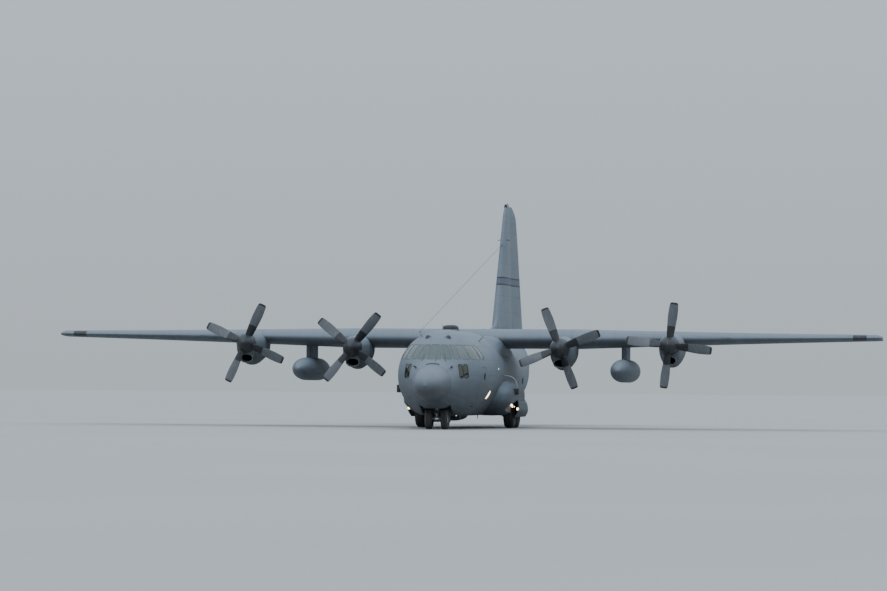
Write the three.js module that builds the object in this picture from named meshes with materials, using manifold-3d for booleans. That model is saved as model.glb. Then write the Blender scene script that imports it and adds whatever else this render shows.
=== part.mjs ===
// Four-engined high-wing military transport plane, parked on its wheels, as a 1:2 scale model.
// Every size below is the real aircraft's, in millimetres: x to its left, y aft of the nose tip, z up
// from the ground. The group at the end scales it by SCALE and puts the middle of its length at y = 0.
import * as THREE from 'three';
import { mergeVertices } from 'three/addons/utils/BufferGeometryUtils.js';
import Module from 'manifold-3d';

const wasm = await Module();
wasm.setup();

// Driving dimensions
const SCALE = 0.5;
const LENGTH = 29790;
const SPAN = 40410;
const TRACK = 4350;
const NOSE_AXLE_Y = 3640;
const MAIN_AXLES_Y = [12650, 14170];
const GAP = 0.6;
const CLEAR = 14;
const FAR = 30000;

// Fuselage
const WALL = 110;
const RADOME_END = 2050;
const NOSE_END = 5460;
const CENTRE_END = 17050;
const HOLD_FLOOR = 1030;
const UNDERFLOOR = 950;
const HOLD_HALF_WIDTH = 1560;
const DECK_Z = 2000;
const DECK_END = 4350;
const BULKHEAD = 80;
const AFT_CAVITY_END = 28500;
const BODY_POINTS = 24;

// Fuselage sections: y, half width, top, waist (widest height), bottom, how far the lower half would
// reach before the flat belly cuts it (1 = not at all), and the lower half's corner power (2 = ellipse)
const BODY = [
  [0, 30, 2035, 2005, 1975, 1, 2],
  [70, 255, 2265, 2010, 1755, 1, 2],
  [230, 440, 2455, 2020, 1585, 1, 2],
  [520, 600, 2635, 2040, 1445, 1, 2],
  [1000, 735, 2800, 2075, 1350, 1, 2],
  [1500, 815, 2910, 2105, 1300, 1, 2],
  [2050, 875, 3005, 2140, 1275, 1, 2],
  [2400, 1050, 3190, 2220, 1140, 1.02, 2],
  [2800, 1240, 3640, 2300, 1000, 1.05, 2],
  [3300, 1475, 4110, 2390, 860, 1.08, 2],
  [3900, 1755, 4400, 2460, 750, 1.11, 2],
  [4500, 2000, 4550, 2490, 680, 1.13, 2],
  [5000, 2085, 4610, 2505, 650, 1.14, 2],
  [5700, 2135, 4650, 2510, 630, 1.14, 2],
  [6500, 2160, 4670, 2510, 620, 1.14, 2],
  [17050, 2160, 4670, 2510, 620, 1.14, 2],
  [18000, 2150, 4670, 2530, 640, 1.12, 2.2],
  [19500, 2100, 4670, 2720, 1080, 1.06, 2.8],
  [21100, 2000, 4665, 2950, 1550, 1.02, 3.3],
  [23000, 1740, 4650, 3250, 2180, 1, 3.3],
  [25000, 1370, 4620, 3560, 2880, 1, 2.8],
  [27000, 950, 4570, 3860, 3400, 1, 2.4],
  [28600, 560, 4500, 4060, 3750, 1, 2.1],
  [29600, 250, 4390, 4180, 4000, 1, 2],
  [29790, 60, 4250, 4190, 4130, 1, 2],
];

// Cockpit windows are wedges seen from above, about the point (0, WINDOW_CENTRE_Y); each row is
// start angle and end angle from the nose, in degrees
const WINDOW_CENTRE_Y = 4000;
const UPPER_PANES = [[-13, 13], [15.5, 33], [36, 53], [57, 80], [84, 108], [112, 123]];
const UPPER_PANES_Z = [3250, 3920];
const LOWER_PANES = [[43, 52], [55, 66.5]];
const LOWER_PANES_Z = [2400, 3000];
const PANE_SKIN = 40;
const PANE_THICKNESS = 30;
const PANE_MARGIN = 60;
// How far the glazing runs past its outermost panes, and how much less than its pocket, in degrees
const PANE_EDGE = 1.6;
const PANE_EDGE_PLAY = 0.003;

// Doors in the fuselage: y range and z range
const CREW_DOOR = { y: [4480, 5240], z: [1060, 2890], hingeX: 1525, knucklesY: [4620, 5100] };
const PARA_DOOR = { y: [17120, 17935], z: [1100, 2880] };
const RAMP = {
  hingeY: 17975, hingeZ: 660, frontY: 17990, frameY: 17955, endRadius: 3248, topEnd: [21300, 1750],
};
const CARGO_DOOR = {
  frontY: 20930, hingeY: 24985, hingeZ: 2985, front: 1430, aft: 800,
  topFront: 1665, topAft: 2995, headroom: 400,
};

// Wing
const WING = { rootY: 11230, rootZ: 4330, rootChord: 4880, tipChord: 2480, tipZ: 4475, breakX: 5590 };
const WING_RATIO = { root: 0.195, tip: 0.12 };
const WING_CAMBER = 0.02;
const WING_INCIDENCE = 3;
const WING_STATIONS = [5590, 9000, 12500, 16000, 19900, 20205];
const TIP_ROUND = 0.78;
// Chord fractions of the points of every aerofoil section
const FRACTIONS = [0.012, 0.05, 0.14, 0.28, 0.46, 0.7];
const LIP_ANGLE = 115;
const PIN_RADIUS = 20;
const FLAP_FRACTION = 0.74;
const AILERON_FRACTION = 0.72;
// Hinged surfaces of the wing: name, inner end, outer end, chord fraction of the hinge
const WING_SURFACES = [
  ['flap_inner', 2300, 5500, FLAP_FRACTION],
  ['flap_outer', 5700, 12200, FLAP_FRACTION],
  ['aileron', 12500, 19300, AILERON_FRACTION],
];

// Tail
const FIN = {
  rootZ: 4500, tipZ: 11660, rootLe: 22800, tipLe: 26330, rootTe: 29650, tipTe: 28350, ratio: 0.12,
};
// Fin sections: z, and how far the rounded tip takes the front and the rear edge in
const FIN_STATIONS = [
  [4500, 0, 0],
  [7000, 0, 0],
  [9400, 0, 0],
  [10900, 0, 60],
  [11250, 60, 330],
  [11500, 220, 620],
  [11620, 480, 820],
  [11660, 800, 950],
];
const FIN_HOLLOW = [6000, 10800];
// Dorsal fin ahead of the fin: y, top
const DORSAL = [[17600, 4700], [20000, 4850], [22400, 5200], [24000, 5900]];
const DORSAL_HALF_WIDTH = 110;
const RUDDER = { hingeY: 27200, z: [4700, 11480], deflection: 13 };
const TAILPLANE = {
  half: 8025, z: 4720, rootLe: 23850, tipLe: 25250, rootTe: 28250, tipTe: 27550, ratio: 0.12,
};
const TAIL_STATIONS = [0, 4000, 7750, 8025];
const ELEVATOR = { rootY: 27000, tipY: 26780, x: [1080, 7500] };
const TAIL_SKIN = 28;

// Engines: name, x of the centre line, hub height, clockwise blade angle seen from ahead
const ENGINES = [
  ['outer_right', -10260, 4020, 24.4],
  ['inner_right', -5030, 3850, 39],
  ['inner_left', 5030, 3850, -21.3],
  ['outer_left', 10260, 4020, 6.9],
];
const PROP_Y = 9100;
const SPINNER_RADIUS = 440;
const SPINNER_POINTS = 16;
const BLADES = 4;
const BLADE_POINTS = 8;
// Nacelle sections: y, half width, top above the hub, bottom below the hub
const NACELLE = [
  [9360, 470, 480, 870],
  [9550, 520, 530, 910],
  [10200, 550, 570, 1010],
  [10750, 560, 590, 1050],
  [11400, 560, 600, 990],
  [12100, 555, 560, 850],
  [13000, 450, 330, 660],
  [13900, 270, 60, 430],
];
const NACELLE_WALL = 50;
const NACELLE_POINTS = 16;
const INTAKE = { drop: 730, halfWidth: 300, halfHeight: 190, depth: 500 };
const ENGINE_BLOCK = { y: [9700, 12600], halfWidth: 310, top: -40, bottom: -560 };
const SHAFT_RADIUS = 90;
// Blade sections: distance from the axis, chord, thickness, pitch from the plane of rotation in degrees
const BLADE = [
  [300, 300, 230, 46],
  [500, 420, 180, 42],
  [900, 460, 100, 34],
  [1400, 480, 58, 22],
  [2055, 400, 24, 12],
];

// Pylon tanks
const TANK = { x: 7770, z: 2800 };
const TANK_POINTS = 20;
// Tank profile: y, radius
const TANK_PROFILE = [
  [9600, 0], [9660, 120], [9900, 265], [10400, 420], [11000, 510], [11750, 555],
  [14850, 555], [15700, 470], [16600, 320], [17300, 150], [17600, 0],
];
const PYLON = { y: [12280, 14410], halfWidth: 120, taper: [160, 120], top: 4300 };

// Landing gear
const MAIN_WHEEL = { radius: 710, width: 510, rim: 300, axle: 75 };
const NOSE_WHEEL = { radius: 495, width: 330, rim: 215, axle: 58, x: 375 };
const WHEEL_POINTS = 24;
const GEAR_POINTS = 16;
const PISTON_POINTS = 32;
const STRUT = { x: 1800, radius: 105 };
const WELL = { x: [1620, 2480], y: [11750, 15070], top: 2150, sideTop: 1330, corner: [2240, 1880] };
const WELL_BULGE = { y: [11600, 15220], top: 2300 };
// Sponson sections: y, outermost x, top, bottom
const SPONSON = [
  [9100, 2050, 1700, 1250],
  [9350, 2400, 1960, 1000],
  [9800, 2600, 2160, 830],
  [10500, 2690, 2330, 680],
  [11500, 2700, 2400, 600],
  [14100, 2700, 2400, 600],
  [15100, 2560, 2400, 600],
  [16200, 2390, 2220, 800],
  [17040, 2160, 1800, 1250],
];
const SPONSON_CENTRE_X = 1400;
const SPONSON_POINTS = 24;
const GEAR_DOOR = { y: [11800, 15020], thickness: 44 };
// Gear door section: z, outer x at its front end, outer x at its rear end
const GEAR_DOOR_SECTION = [
  [1385, 2695, 2605],
  [1150, 2735, 2725],
  [890, 2730, 2765],
  [700, 2665, 2725],
  [530, 2550, 2620],
];
// The recess in a sponson ahead of its gear door: seen from above, [x, y], and from the side, [y, z]
const LAMP_RECESS = {
  plan: [[2900, 9700], [2290, 9950], [2350, 11760], [2900, 11760]],
  side: [[9600, 0], [9600, 1100], [11760, 1400], [11760, 0]],
};
const NOSE_WELL = { halfWidth: 730, y: [2900, 4420], top: 1620 };
const NOSE_LEG_RADIUS = 105;
const NOSE_PISTON_RADIUS = 68;
const JACK_PAD = { size: 200, bottom: 590, places: [[0, 5800], [-850, 11100], [850, 11100]] };

const GREY = 0x747f86;
const COLOURS = {
  skin: [GREY, 0.75, 0.1],
  radome: [0x6d767b, 0.8, 0],
  glass: [0x2e4742, 0.15, 0],
  interior: [0x5d6460, 0.8, 0],
  floor: [0x55595a, 0.7, 0.3],
  tyre: [0x1b1c1d, 0.9, 0],
  wheel: [0x9a9fa1, 0.5, 0.5],
  strut: [0xb4b8ba, 0.4, 0.6],
  engine: [0x5a5a58, 0.5, 0.7],
  propeller: [0x2c2f31, 0.6, 0.2],
};

// Solids from three.js geometry, and back

function solidOf(geometry) {
  const bare = new THREE.BufferGeometry();
  bare.setAttribute('position', geometry.getAttribute('position'));
  bare.setIndex(geometry.index);
  const merged = mergeVertices(bare, 1e-3);
  return new wasm.Manifold(new wasm.Mesh({
    numProp: 3,
    vertProperties: new Float32Array(merged.getAttribute('position').array),
    triVerts: new Uint32Array(merged.index.array),
  }));
}

function geometryOf(solid) {
  const mesh = solid.getMesh();
  const geometry = new THREE.BufferGeometry();
  geometry.setAttribute('position', new THREE.BufferAttribute(new Float32Array(mesh.vertProperties), 3));
  geometry.setIndex(new THREE.BufferAttribute(new Uint32Array(mesh.triVerts), 1));
  geometry.computeVertexNormals();
  return geometry;
}

function largestPiece(solid) {
  const pieces = solid.decompose();
  pieces.sort((a, b) => b.volume() - a.volume());
  return pieces[0];
}

// A closed skin over rings of points, each ring an array of [x, y, z] with the same count
function loft(rings) {
  const count = rings[0].length;
  const positions = rings.flat(2);
  const index = [];
  for (let r = 0; r + 1 < rings.length; r += 1) {
    for (let i = 0; i < count; i += 1) {
      const a = r * count + i;
      const b = r * count + ((i + 1) % count);
      index.push(a, b, b + count, a, b + count, a + count);
    }
  }
  for (const [ring, flip] of [[0, true], [rings.length - 1, false]]) {
    const middle = positions.length / 3;
    const sum = rings[ring].reduce((s, p) => [s[0] + p[0], s[1] + p[1], s[2] + p[2]], [0, 0, 0]);
    positions.push(sum[0] / count, sum[1] / count, sum[2] / count);
    for (let i = 0; i < count; i += 1) {
      const a = ring * count + i;
      const b = ring * count + ((i + 1) % count);
      index.push(middle, ...(flip ? [b, a] : [a, b]));
    }
  }
  const volume = signedVolume(positions, index);
  if (volume < 0) index.reverse();
  const geometry = new THREE.BufferGeometry();
  geometry.setAttribute('position', new THREE.BufferAttribute(new Float32Array(positions), 3));
  geometry.setIndex(index);
  return solidOf(geometry);
}

function signedVolume(positions, index) {
  const [a, b, c] = [new THREE.Vector3(), new THREE.Vector3(), new THREE.Vector3()];
  let volume = 0;
  for (let i = 0; i < index.length; i += 3) {
    a.fromArray(positions, index[i] * 3);
    b.fromArray(positions, index[i + 1] * 3);
    c.fromArray(positions, index[i + 2] * 3);
    volume += a.dot(b.cross(c)) / 6;
  }
  return volume;
}

function box(low, high) {
  const size = low.map((v, i) => high[i] - v);
  const geometry = new THREE.BoxGeometry(...size);
  geometry.translate(...low.map((v, i) => v + size[i] / 2));
  return solidOf(geometry);
}

// An outline of [u, v] points pushed along one axis: x takes (y, z), y takes (x, z), z takes (x, y)
function prism(axis, outline, from, to) {
  const shape = new THREE.Shape(outline.map(([u, v]) => new THREE.Vector2(u, v)));
  const geometry = new THREE.ExtrudeGeometry(shape, { depth: to - from, bevelEnabled: false });
  geometry.deleteAttribute('normal');
  geometry.deleteAttribute('uv');
  const [right, ahead, up] = [[1, 0, 0], [0, 1, 0], [0, 0, 1]].map((v) => new THREE.Vector3(...v));
  const turns = {
    x: [ahead, up, right],
    y: [right, up, ahead.clone().negate()],
    z: [right, ahead, up],
  };
  geometry.applyMatrix4(new THREE.Matrix4().makeBasis(...turns[axis]));
  const shift = { x: [from, 0, 0], y: [0, to, 0], z: [0, 0, from] }[axis];
  geometry.translate(...shift);
  return solidOf(mergeVertices(geometry, 1e-3));
}

function rod(from, to, radius, points = 16) {
  const start = new THREE.Vector3(...from);
  const end = new THREE.Vector3(...to);
  const direction = end.clone().sub(start);
  const geometry = new THREE.CylinderGeometry(radius, radius, direction.length(), points);
  const up = new THREE.Vector3(0, 1, 0);
  const turn = new THREE.Quaternion().setFromUnitVectors(up, direction.clone().normalize());
  geometry.applyQuaternion(turn);
  const middle = start.add(end).multiplyScalar(0.5);
  geometry.translate(middle.x, middle.y, middle.z);
  return solidOf(geometry);
}

// A profile of [radius, distance along the axis] turned about an axis through the origin
function turned(profile, points, axis) {
  const geometry = new THREE.LatheGeometry(profile.map(([r, d]) => new THREE.Vector2(r, d)), points);
  geometry.deleteAttribute('normal');
  geometry.deleteAttribute('uv');
  if (axis === 'x') geometry.rotateZ(-Math.PI / 2);
  if (axis === 'z') geometry.rotateX(Math.PI / 2);
  const merged = mergeVertices(geometry, 1e-3);
  if (signedVolume(merged.getAttribute('position').array, merged.index.array) < 0) {
    merged.index.array.reverse();
  }
  return solidOf(merged);
}

const radians = (degrees) => (degrees * Math.PI) / 180;
const mix = (a, b, t) => a + (b - a) * t;
const mirrored = (solid) => solid.mirror([1, 0, 0]);
const joined = (solids) => solids.reduce((sum, solid) => sum.add(solid));
const without = (solid, cuts) => cuts.reduce((rest, cut) => rest.subtract(cut), solid);

// Fuselage skin

function bodySection(y) {
  const next = BODY.findIndex((row) => row[0] >= y);
  if (next <= 0) return BODY[0];
  const t = (y - BODY[next - 1][0]) / (BODY[next][0] - BODY[next - 1][0]);
  return BODY[next].map((value, i) => mix(BODY[next - 1][i], value, t));
}

function bodyRing(y, inset) {
  const [, halfWidth, top, waist, bottom, reach, power] = bodySection(y);
  const wide = halfWidth - inset;
  const floor = bottom + inset;
  return Array.from({ length: BODY_POINTS }, (_, i) => {
    const angle = (i / BODY_POINTS) * 2 * Math.PI;
    const c = Math.cos(angle);
    const s = Math.sin(angle);
    if (s >= 0) return [wide * c, y, waist + (top - inset - waist) * s];
    const x = wide * Math.sign(c) * Math.abs(c) ** (2 / power);
    const z = waist - (waist - floor) * reach * Math.abs(s) ** (2 / power);
    return [x, y, Math.max(z, floor)];
  });
}

function bodyLoft(from, to, inset = 0) {
  const between = BODY.map((row) => row[0]).filter((y) => y > from + 1 && y < to - 1);
  return loft([from, ...between, to].map((y) => bodyRing(y, inset)));
}

// A ring of wedges about the cockpit's centre, one for each pair of angles, on one or both sides
function paneWedges(panes, [low, high], sides, margin = 0) {
  const wedges = [];
  for (const [start, end] of panes) {
    for (const side of start < 0 ? [1] : sides) {
      const [a, b] = [radians(start * side), radians(end * side)];
      const corner = (angle) => [Math.sin(angle) * FAR, WINDOW_CENTRE_Y - Math.cos(angle) * FAR];
      wedges.push(prism('z', [[0, WINDOW_CENTRE_Y], corner(a), corner(b)], low - margin, high + margin));
    }
  }
  return joined(wedges);
}

// The pocket behind a row of panes and the sheet of glazing that lies in it
function glazingBand(panes, [low, high], sides, inset, thickness, shrink) {
  const first = panes[0][0] < 0 ? -panes[panes.length - 1][1] : panes[0][0];
  const last = panes[panes.length - 1][1];
  const edge = PANE_EDGE - (shrink ? PANE_EDGE_PLAY : 0);
  const spans = sides.map((side) => [side * (first - edge), side * (last + edge)]);
  const [from, to] = [low - PANE_MARGIN + shrink, high + PANE_MARGIN - shrink];
  const region = joined(spans.map(([start, end]) => fanPrism(start, end, from, to)));
  const outside = bodyLoft(RADOME_END + 100, NOSE_END - 100, inset);
  const inside = bodyLoft(RADOME_END + 50, NOSE_END - 50, inset + thickness);
  return outside.subtract(inside).intersect(region);
}

function fanPrism(start, end, low, high) {
  const steps = Math.max(1, Math.ceil(Math.abs(end - start) / 60));
  const rim = Array.from({ length: steps + 1 }, (_, i) => radians(mix(start, end, i / steps)));
  const points = rim.map((angle) => [Math.sin(angle) * FAR, WINDOW_CENTRE_Y - Math.cos(angle) * FAR]);
  return prism('z', [[0, WINDOW_CENTRE_Y], ...points], low, high);
}

// Aerofoils. A section has its leading edge at (y, z), a chord, a thickness ratio and a station.

function foilHalfHeight(f, ratio) {
  const shape = 0.2969 * Math.sqrt(f) - 0.126 * f - 0.3516 * f ** 2 + 0.2843 * f ** 3 - 0.1036 * f ** 4;
  return 5 * ratio * shape;
}

const camberHeight = (fraction, camber) => 4 * camber * fraction * (1 - fraction);

// Points [aft, up] of a section round its own outline, from the trailing edge over the top
function foilOutline(chord, ratio, camber, grow = 0) {
  const wide = chord + 2 * grow;
  const thick = (ratio * chord + 2 * grow) / wide;
  const height = (f, side) => camberHeight(f, camber) + side * foilHalfHeight(f, thick);
  const point = (f, side) => [f * wide - grow, height(f, side) * wide];
  return [
    point(1, 0),
    ...[...FRACTIONS].reverse().map((f) => point(f, 1)),
    point(0, 0),
    ...FRACTIONS.map((f) => point(f, -1)),
  ];
}

function wingAt(x) {
  const t = Math.max(0, (Math.abs(x) - WING.breakX) / (SPAN / 2 - WING.breakX));
  const chord = mix(WING.rootChord, WING.tipChord, t);
  return {
    chord,
    y: WING.rootY + (WING.rootChord - chord) / 4,
    z: mix(WING.rootZ, WING.tipZ, t),
    ratio: mix(WING_RATIO.root, WING_RATIO.tip, t),
  };
}

// The point at a chord fraction and height above the chord line, turned by the wing's incidence
function wingPoint(x, aft, up) {
  const { y, z } = wingAt(x);
  const turn = radians(-WING_INCIDENCE);
  return [x, y + aft * Math.cos(turn) - up * Math.sin(turn), z + aft * Math.sin(turn) + up * Math.cos(turn)];
}

function wingRing(x, grow = 0) {
  const { chord, ratio } = wingAt(x);
  const tip = Math.abs(x) > WING_STATIONS[WING_STATIONS.length - 2] ? TIP_ROUND : 1;
  const outline = foilOutline(chord * tip, ratio * tip, WING_CAMBER, grow);
  const shift = (chord * (1 - tip)) / 2;
  return outline.map(([aft, up]) => wingPoint(x, aft + shift, up));
}

function wingHinge(x, fraction) {
  const { chord, ratio } = wingAt(x);
  return {
    centre: wingPoint(x, fraction * chord, camberHeight(fraction, WING_CAMBER) * chord),
    radius: foilHalfHeight(fraction, ratio) * chord,
  };
}

// The space aft of a hinge line: a round front about the hinge and straight sides that open aft.
// A row is the hinge's centre and the front's radius; up is the direction across the surface.
function hingedSpace(rows, up, extra) {
  const rings = rows.map(({ centre, radius }) => {
    const r = radius * (extra ? 1.05 : 1) + extra;
    const points = Array.from({ length: 7 }, (_, i) => {
      const angle = radians(mix(LIP_ANGLE, 360 - LIP_ANGLE, i / 6));
      return [Math.cos(angle) * r, Math.sin(angle) * r];
    });
    points.push([FAR / 6, -r - FAR / 12], [FAR / 6, r + FAR / 12]);
    return points.map(([aft, across]) => (
      [centre[0] + up[0] * across, centre[1] + aft, centre[2] + up[2] * across]
    ));
  });
  return loft(rings);
}

// The two pins of a hinged piece: each lies on the hinge line and stops just short of the wall it faces
function endPins(rows) {
  const [a, b] = rows.map(({ centre }) => new THREE.Vector3(...centre));
  const along = b.clone().sub(a).normalize();
  const main = Math.max(Math.abs(along.x), Math.abs(along.z));
  const slant = (PIN_RADIUS * Math.sqrt(1 - main ** 2)) / main;
  const reach = CLEAR - GAP - slant;
  const pin = (end, way) => rod(
    end.clone().addScaledVector(along, -way * 60).toArray(),
    end.clone().addScaledVector(along, way * reach).toArray(),
    PIN_RADIUS,
    8,
  );
  return joined([pin(a, -1), pin(b, 1)]);
}

// Wing panels with their flaps and ailerons: the left side is built, and the right one mirrors it

function wingSurface([, inner, outer, fraction]) {
  const rows = (margin) => [inner - margin, outer + margin].map((x) => wingHinge(x, fraction));
  const across = [0, 0, 1];
  return {
    piece: hingedSpace(rows(0), across, 0),
    space: hingedSpace(rows(CLEAR), across, CLEAR),
    pins: endPins(rows(0)),
  };
}

function wingPanels() {
  const solids = {
    wing_centre: loft([-WING.breakX + GAP / 2, WING.breakX - GAP / 2].map((x) => wingRing(x))),
    wing_left: loft([WING.breakX + GAP / 2, ...WING_STATIONS.slice(1)].map((x) => wingRing(x))),
  };
  const whole = { ...solids };
  for (const row of WING_SURFACES) {
    const host = row[1] < WING.breakX ? 'wing_centre' : 'wing_left';
    const { piece, space, pins } = wingSurface(row);
    solids[`${row[0]}_left`] = whole[host].intersect(piece).add(pins);
    solids[`${row[0]}_right`] = mirrored(solids[`${row[0]}_left`]);
    solids[host] = solids[host].subtract(space);
    if (host === 'wing_centre') solids[host] = solids[host].subtract(mirrored(space));
  }
  solids.wing_right = mirrored(solids.wing_left);
  return solids;
}

function grownWing() {
  const grow = 2 * GAP;
  const middle = loft([-WING.breakX, WING.breakX].map((x) => wingRing(x, grow)));
  const panel = loft(WING_STATIONS.map((x) => wingRing(x, grow)));
  return joined([middle, panel, mirrored(panel)]);
}

// Tail

function finEdges(z) {
  const t = (z - FIN.rootZ) / (FIN.tipZ - FIN.rootZ);
  return [mix(FIN.rootLe, FIN.tipLe, t), mix(FIN.rootTe, FIN.tipTe, t)];
}

function finRing([z, frontIn, rearIn], inset = 0) {
  const [le, te] = finEdges(z);
  const outline = foilOutline(te - rearIn - le - frontIn, FIN.ratio, 0, -inset);
  return outline.map(([aft, across]) => [across, le + frontIn + aft, z]);
}

function rudderRows(margin) {
  return [RUDDER.z[0] - margin, RUDDER.z[1] + margin].map((z) => {
    const [le, te] = finEdges(z);
    const radius = foilHalfHeight((RUDDER.hingeY - le) / (te - le), FIN.ratio) * (te - le);
    return { centre: [0, RUDDER.hingeY, z], radius };
  });
}

function tailplaneRing(x, grow = 0) {
  const t = Math.abs(x) / TAILPLANE.half;
  const tip = Math.abs(x) > TAIL_STATIONS[2] ? TIP_ROUND : 1;
  const le = mix(TAILPLANE.rootLe, TAILPLANE.tipLe, t);
  const full = mix(TAILPLANE.rootTe, TAILPLANE.tipTe, t) - le;
  const outline = foilOutline(full * tip, TAILPLANE.ratio * tip, 0, grow);
  return outline.map(([aft, up]) => [x, le + (full * (1 - tip)) / 2 + aft, TAILPLANE.z + up]);
}

function elevatorHinge(x) {
  const t = Math.abs(x) / TAILPLANE.half;
  const le = mix(TAILPLANE.rootLe, TAILPLANE.tipLe, t);
  const chord = mix(TAILPLANE.rootTe, TAILPLANE.tipTe, t) - le;
  const [inner, outer] = ELEVATOR.x;
  const y = mix(ELEVATOR.rootY, ELEVATOR.tipY, (Math.abs(x) - inner) / (outer - inner));
  return { centre: [x, y, TAILPLANE.z], radius: foilHalfHeight((y - le) / chord, TAILPLANE.ratio) * chord };
}

function wholeTailplane(grow) {
  const stations = [...TAIL_STATIONS].reverse().map((x) => -x).concat(TAIL_STATIONS.slice(1));
  return loft(stations.map((x) => tailplaneRing(x, grow)));
}

const grownTailplane = () => wholeTailplane(2 * GAP);

function tailSolids() {
  const across = [0, 0, 1];
  const whole = wholeTailplane(0);
  const hollow = loft([-7400, 0, 7400].map((x) => tailplaneRing(x, -TAIL_SKIN)));
  const shelf = box([-1300, 0, 0], [1300, FAR, FAR]);
  let tailplane = whole;
  const solids = {};
  for (const [side, label] of [[1, 'left'], [-1, 'right']]) {
    const rows = (margin) => (
      [ELEVATOR.x[0] - margin, ELEVATOR.x[1] + margin].map((x) => elevatorHinge(x * side))
    );
    solids[`elevator_${label}`] = whole.intersect(hingedSpace(rows(0), across, 0)).add(endPins(rows(0)));
    tailplane = tailplane.subtract(hingedSpace(rows(CLEAR), across, CLEAR));
  }
  const middle = box([-ELEVATOR.x[0] - 20, ELEVATOR.rootY - 130, 0], [ELEVATOR.x[0] + 20, FAR, FAR]);
  solids.tailplane = largestPiece(tailplane.subtract(middle).subtract(hollow.subtract(shelf)));

  const fin = loft(FIN_STATIONS.map((row) => finRing(row)));
  const finHollow = loft(FIN_HOLLOW.map((z) => finRing([z, 0, 0], TAIL_SKIN)));
  const finAcross = [1, 0, 0];
  const rudder = fin.intersect(hingedSpace(rudderRows(0), finAcross, 0)).add(endPins(rudderRows(0)));
  const belowRudder = box([-1000, RUDDER.hingeY - 260, 0], [1000, FAR, RUDDER.z[0] + 1]);
  solids.fin = largestPiece(without(fin.subtract(finHollow).add(loft(DORSAL.map(dorsalRing))), [
    hingedSpace(rudderRows(CLEAR), finAcross, CLEAR),
    belowRudder,
    grownTailplane(),
    bodyLoft(17000, LENGTH, -GAP),
  ]));
  solids.rudder = rudder
    .translate([0, -RUDDER.hingeY, 0])
    .rotate([0, 0, -RUDDER.deflection])
    .translate([0, RUDDER.hingeY, 0]);
  return solids;
}

function dorsalRing([y, top]) {
  const root = FIN.rootZ;
  const shoulder = mix(root, top, 0.7);
  const [wide, narrow] = [DORSAL_HALF_WIDTH, DORSAL_HALF_WIDTH * 0.65];
  return [[wide, y, root], [narrow, y, shoulder], [0, y, top], [-narrow, y, shoulder], [-wide, y, root]];
}

// Fuselage pieces

// The space of a door in one side of the fuselage
function sideBox(door, side, margin) {
  const x = [side * 1000, side * FAR].sort((a, b) => a - b);
  return box(
    [x[0], door.y[0] - margin, door.z[0] - margin],
    [x[1], door.y[1] + margin, door.z[1] + margin],
  );
}

function noseSolids() {
  const knuckleZ = CREW_DOOR.z[0];
  const knuckles = CREW_DOOR.knucklesY.flatMap((y) => [
    rod([CREW_DOOR.hingeX, y - 50, knuckleZ], [CREW_DOOR.hingeX, y + 50, knuckleZ], CLEAR - GAP, 12),
    box([CREW_DOOR.hingeX - 90, y - 50, knuckleZ], [CREW_DOOR.hingeX, y + 50, knuckleZ + 13]),
  ]);
  const lugs = CREW_DOOR.knucklesY.map((y) => (
    box([CREW_DOOR.hingeX - 120, y - 50, knuckleZ - CLEAR - 34], [CREW_DOOR.hingeX, y + 50, knuckleZ - CLEAR])
  ));
  const outer = bodyLoft(RADOME_END + GAP / 2, NOSE_END - GAP / 2);
  const inner = bodyLoft(RADOME_END + 150, NOSE_END - BULKHEAD, WALL);
  const above = box([-FAR, 0, DECK_Z], [FAR, FAR, FAR]);
  const entrance = box([-FAR, NOSE_WELL.y[1] + WALL, HOLD_FLOOR], [FAR, FAR, FAR]);
  const cavity = inner.intersect(above.add(entrance));
  const doorway = box([-400, NOSE_END - 300, HOLD_FLOOR], [400, NOSE_END + 300, 2950]);
  const well = box(
    [-NOSE_WELL.halfWidth, NOSE_WELL.y[0], -FAR],
    [NOSE_WELL.halfWidth, NOSE_WELL.y[1], NOSE_WELL.top],
  );
  const both = [1, -1];
  const pockets = [
    glazingBand(UPPER_PANES, UPPER_PANES_Z, [1], PANE_SKIN, WALL, 0),
    glazingBand(LOWER_PANES, LOWER_PANES_Z, both, PANE_SKIN, WALL, 0),
  ];
  const openings = [
    paneWedges(UPPER_PANES, UPPER_PANES_Z, both),
    paneWedges(LOWER_PANES, LOWER_PANES_Z, both),
  ];
  const lowerPane = (side) => (
    glazingBand(LOWER_PANES, LOWER_PANES_Z, [side], PANE_SKIN + 1, PANE_THICKNESS, 2)
  );
  const deckSpace = bodyLoft(RADOME_END + 200, DECK_END, WALL + 1);
  const seat = (x, y) => [
    box([x - 240, y, DECK_Z + 40], [x + 240, y + 460, DECK_Z + 460]),
    box([x - 230, y + 400, DECK_Z + 300], [x + 230, y + 500, DECK_Z + 1250]),
  ];
  const deck = joined([
    box([-FAR, 0, DECK_Z + GAP], [FAR, DECK_END - GAP, DECK_Z + 60]),
    box([-950, 2620, DECK_Z + 40], [950, 2760, 2920]),
    box([-950, 2560, 2900], [950, 2900, 2950]),
    box([-190, 2740, DECK_Z + 40], [190, 3500, 2620]),
    ...seat(-540, 3080),
    ...seat(540, 3080),
    ...seat(0, 3780),
  ]).intersect(deckSpace);
  return {
    nose_section: joined([
      without(outer, [cavity, doorway, well, sideBox(CREW_DOOR, 1, CLEAR), ...pockets, ...openings]),
      ...lugs,
    ]),
    crew_door: joined([outer.subtract(inner).intersect(sideBox(CREW_DOOR, 1, 0)), ...knuckles]),
    windscreen: glazingBand(UPPER_PANES, UPPER_PANES_Z, [1], PANE_SKIN + 1, PANE_THICKNESS, 2),
    lower_window_left: lowerPane(1),
    lower_window_right: lowerPane(-1),
    flight_deck: deck,
  };
}

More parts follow.
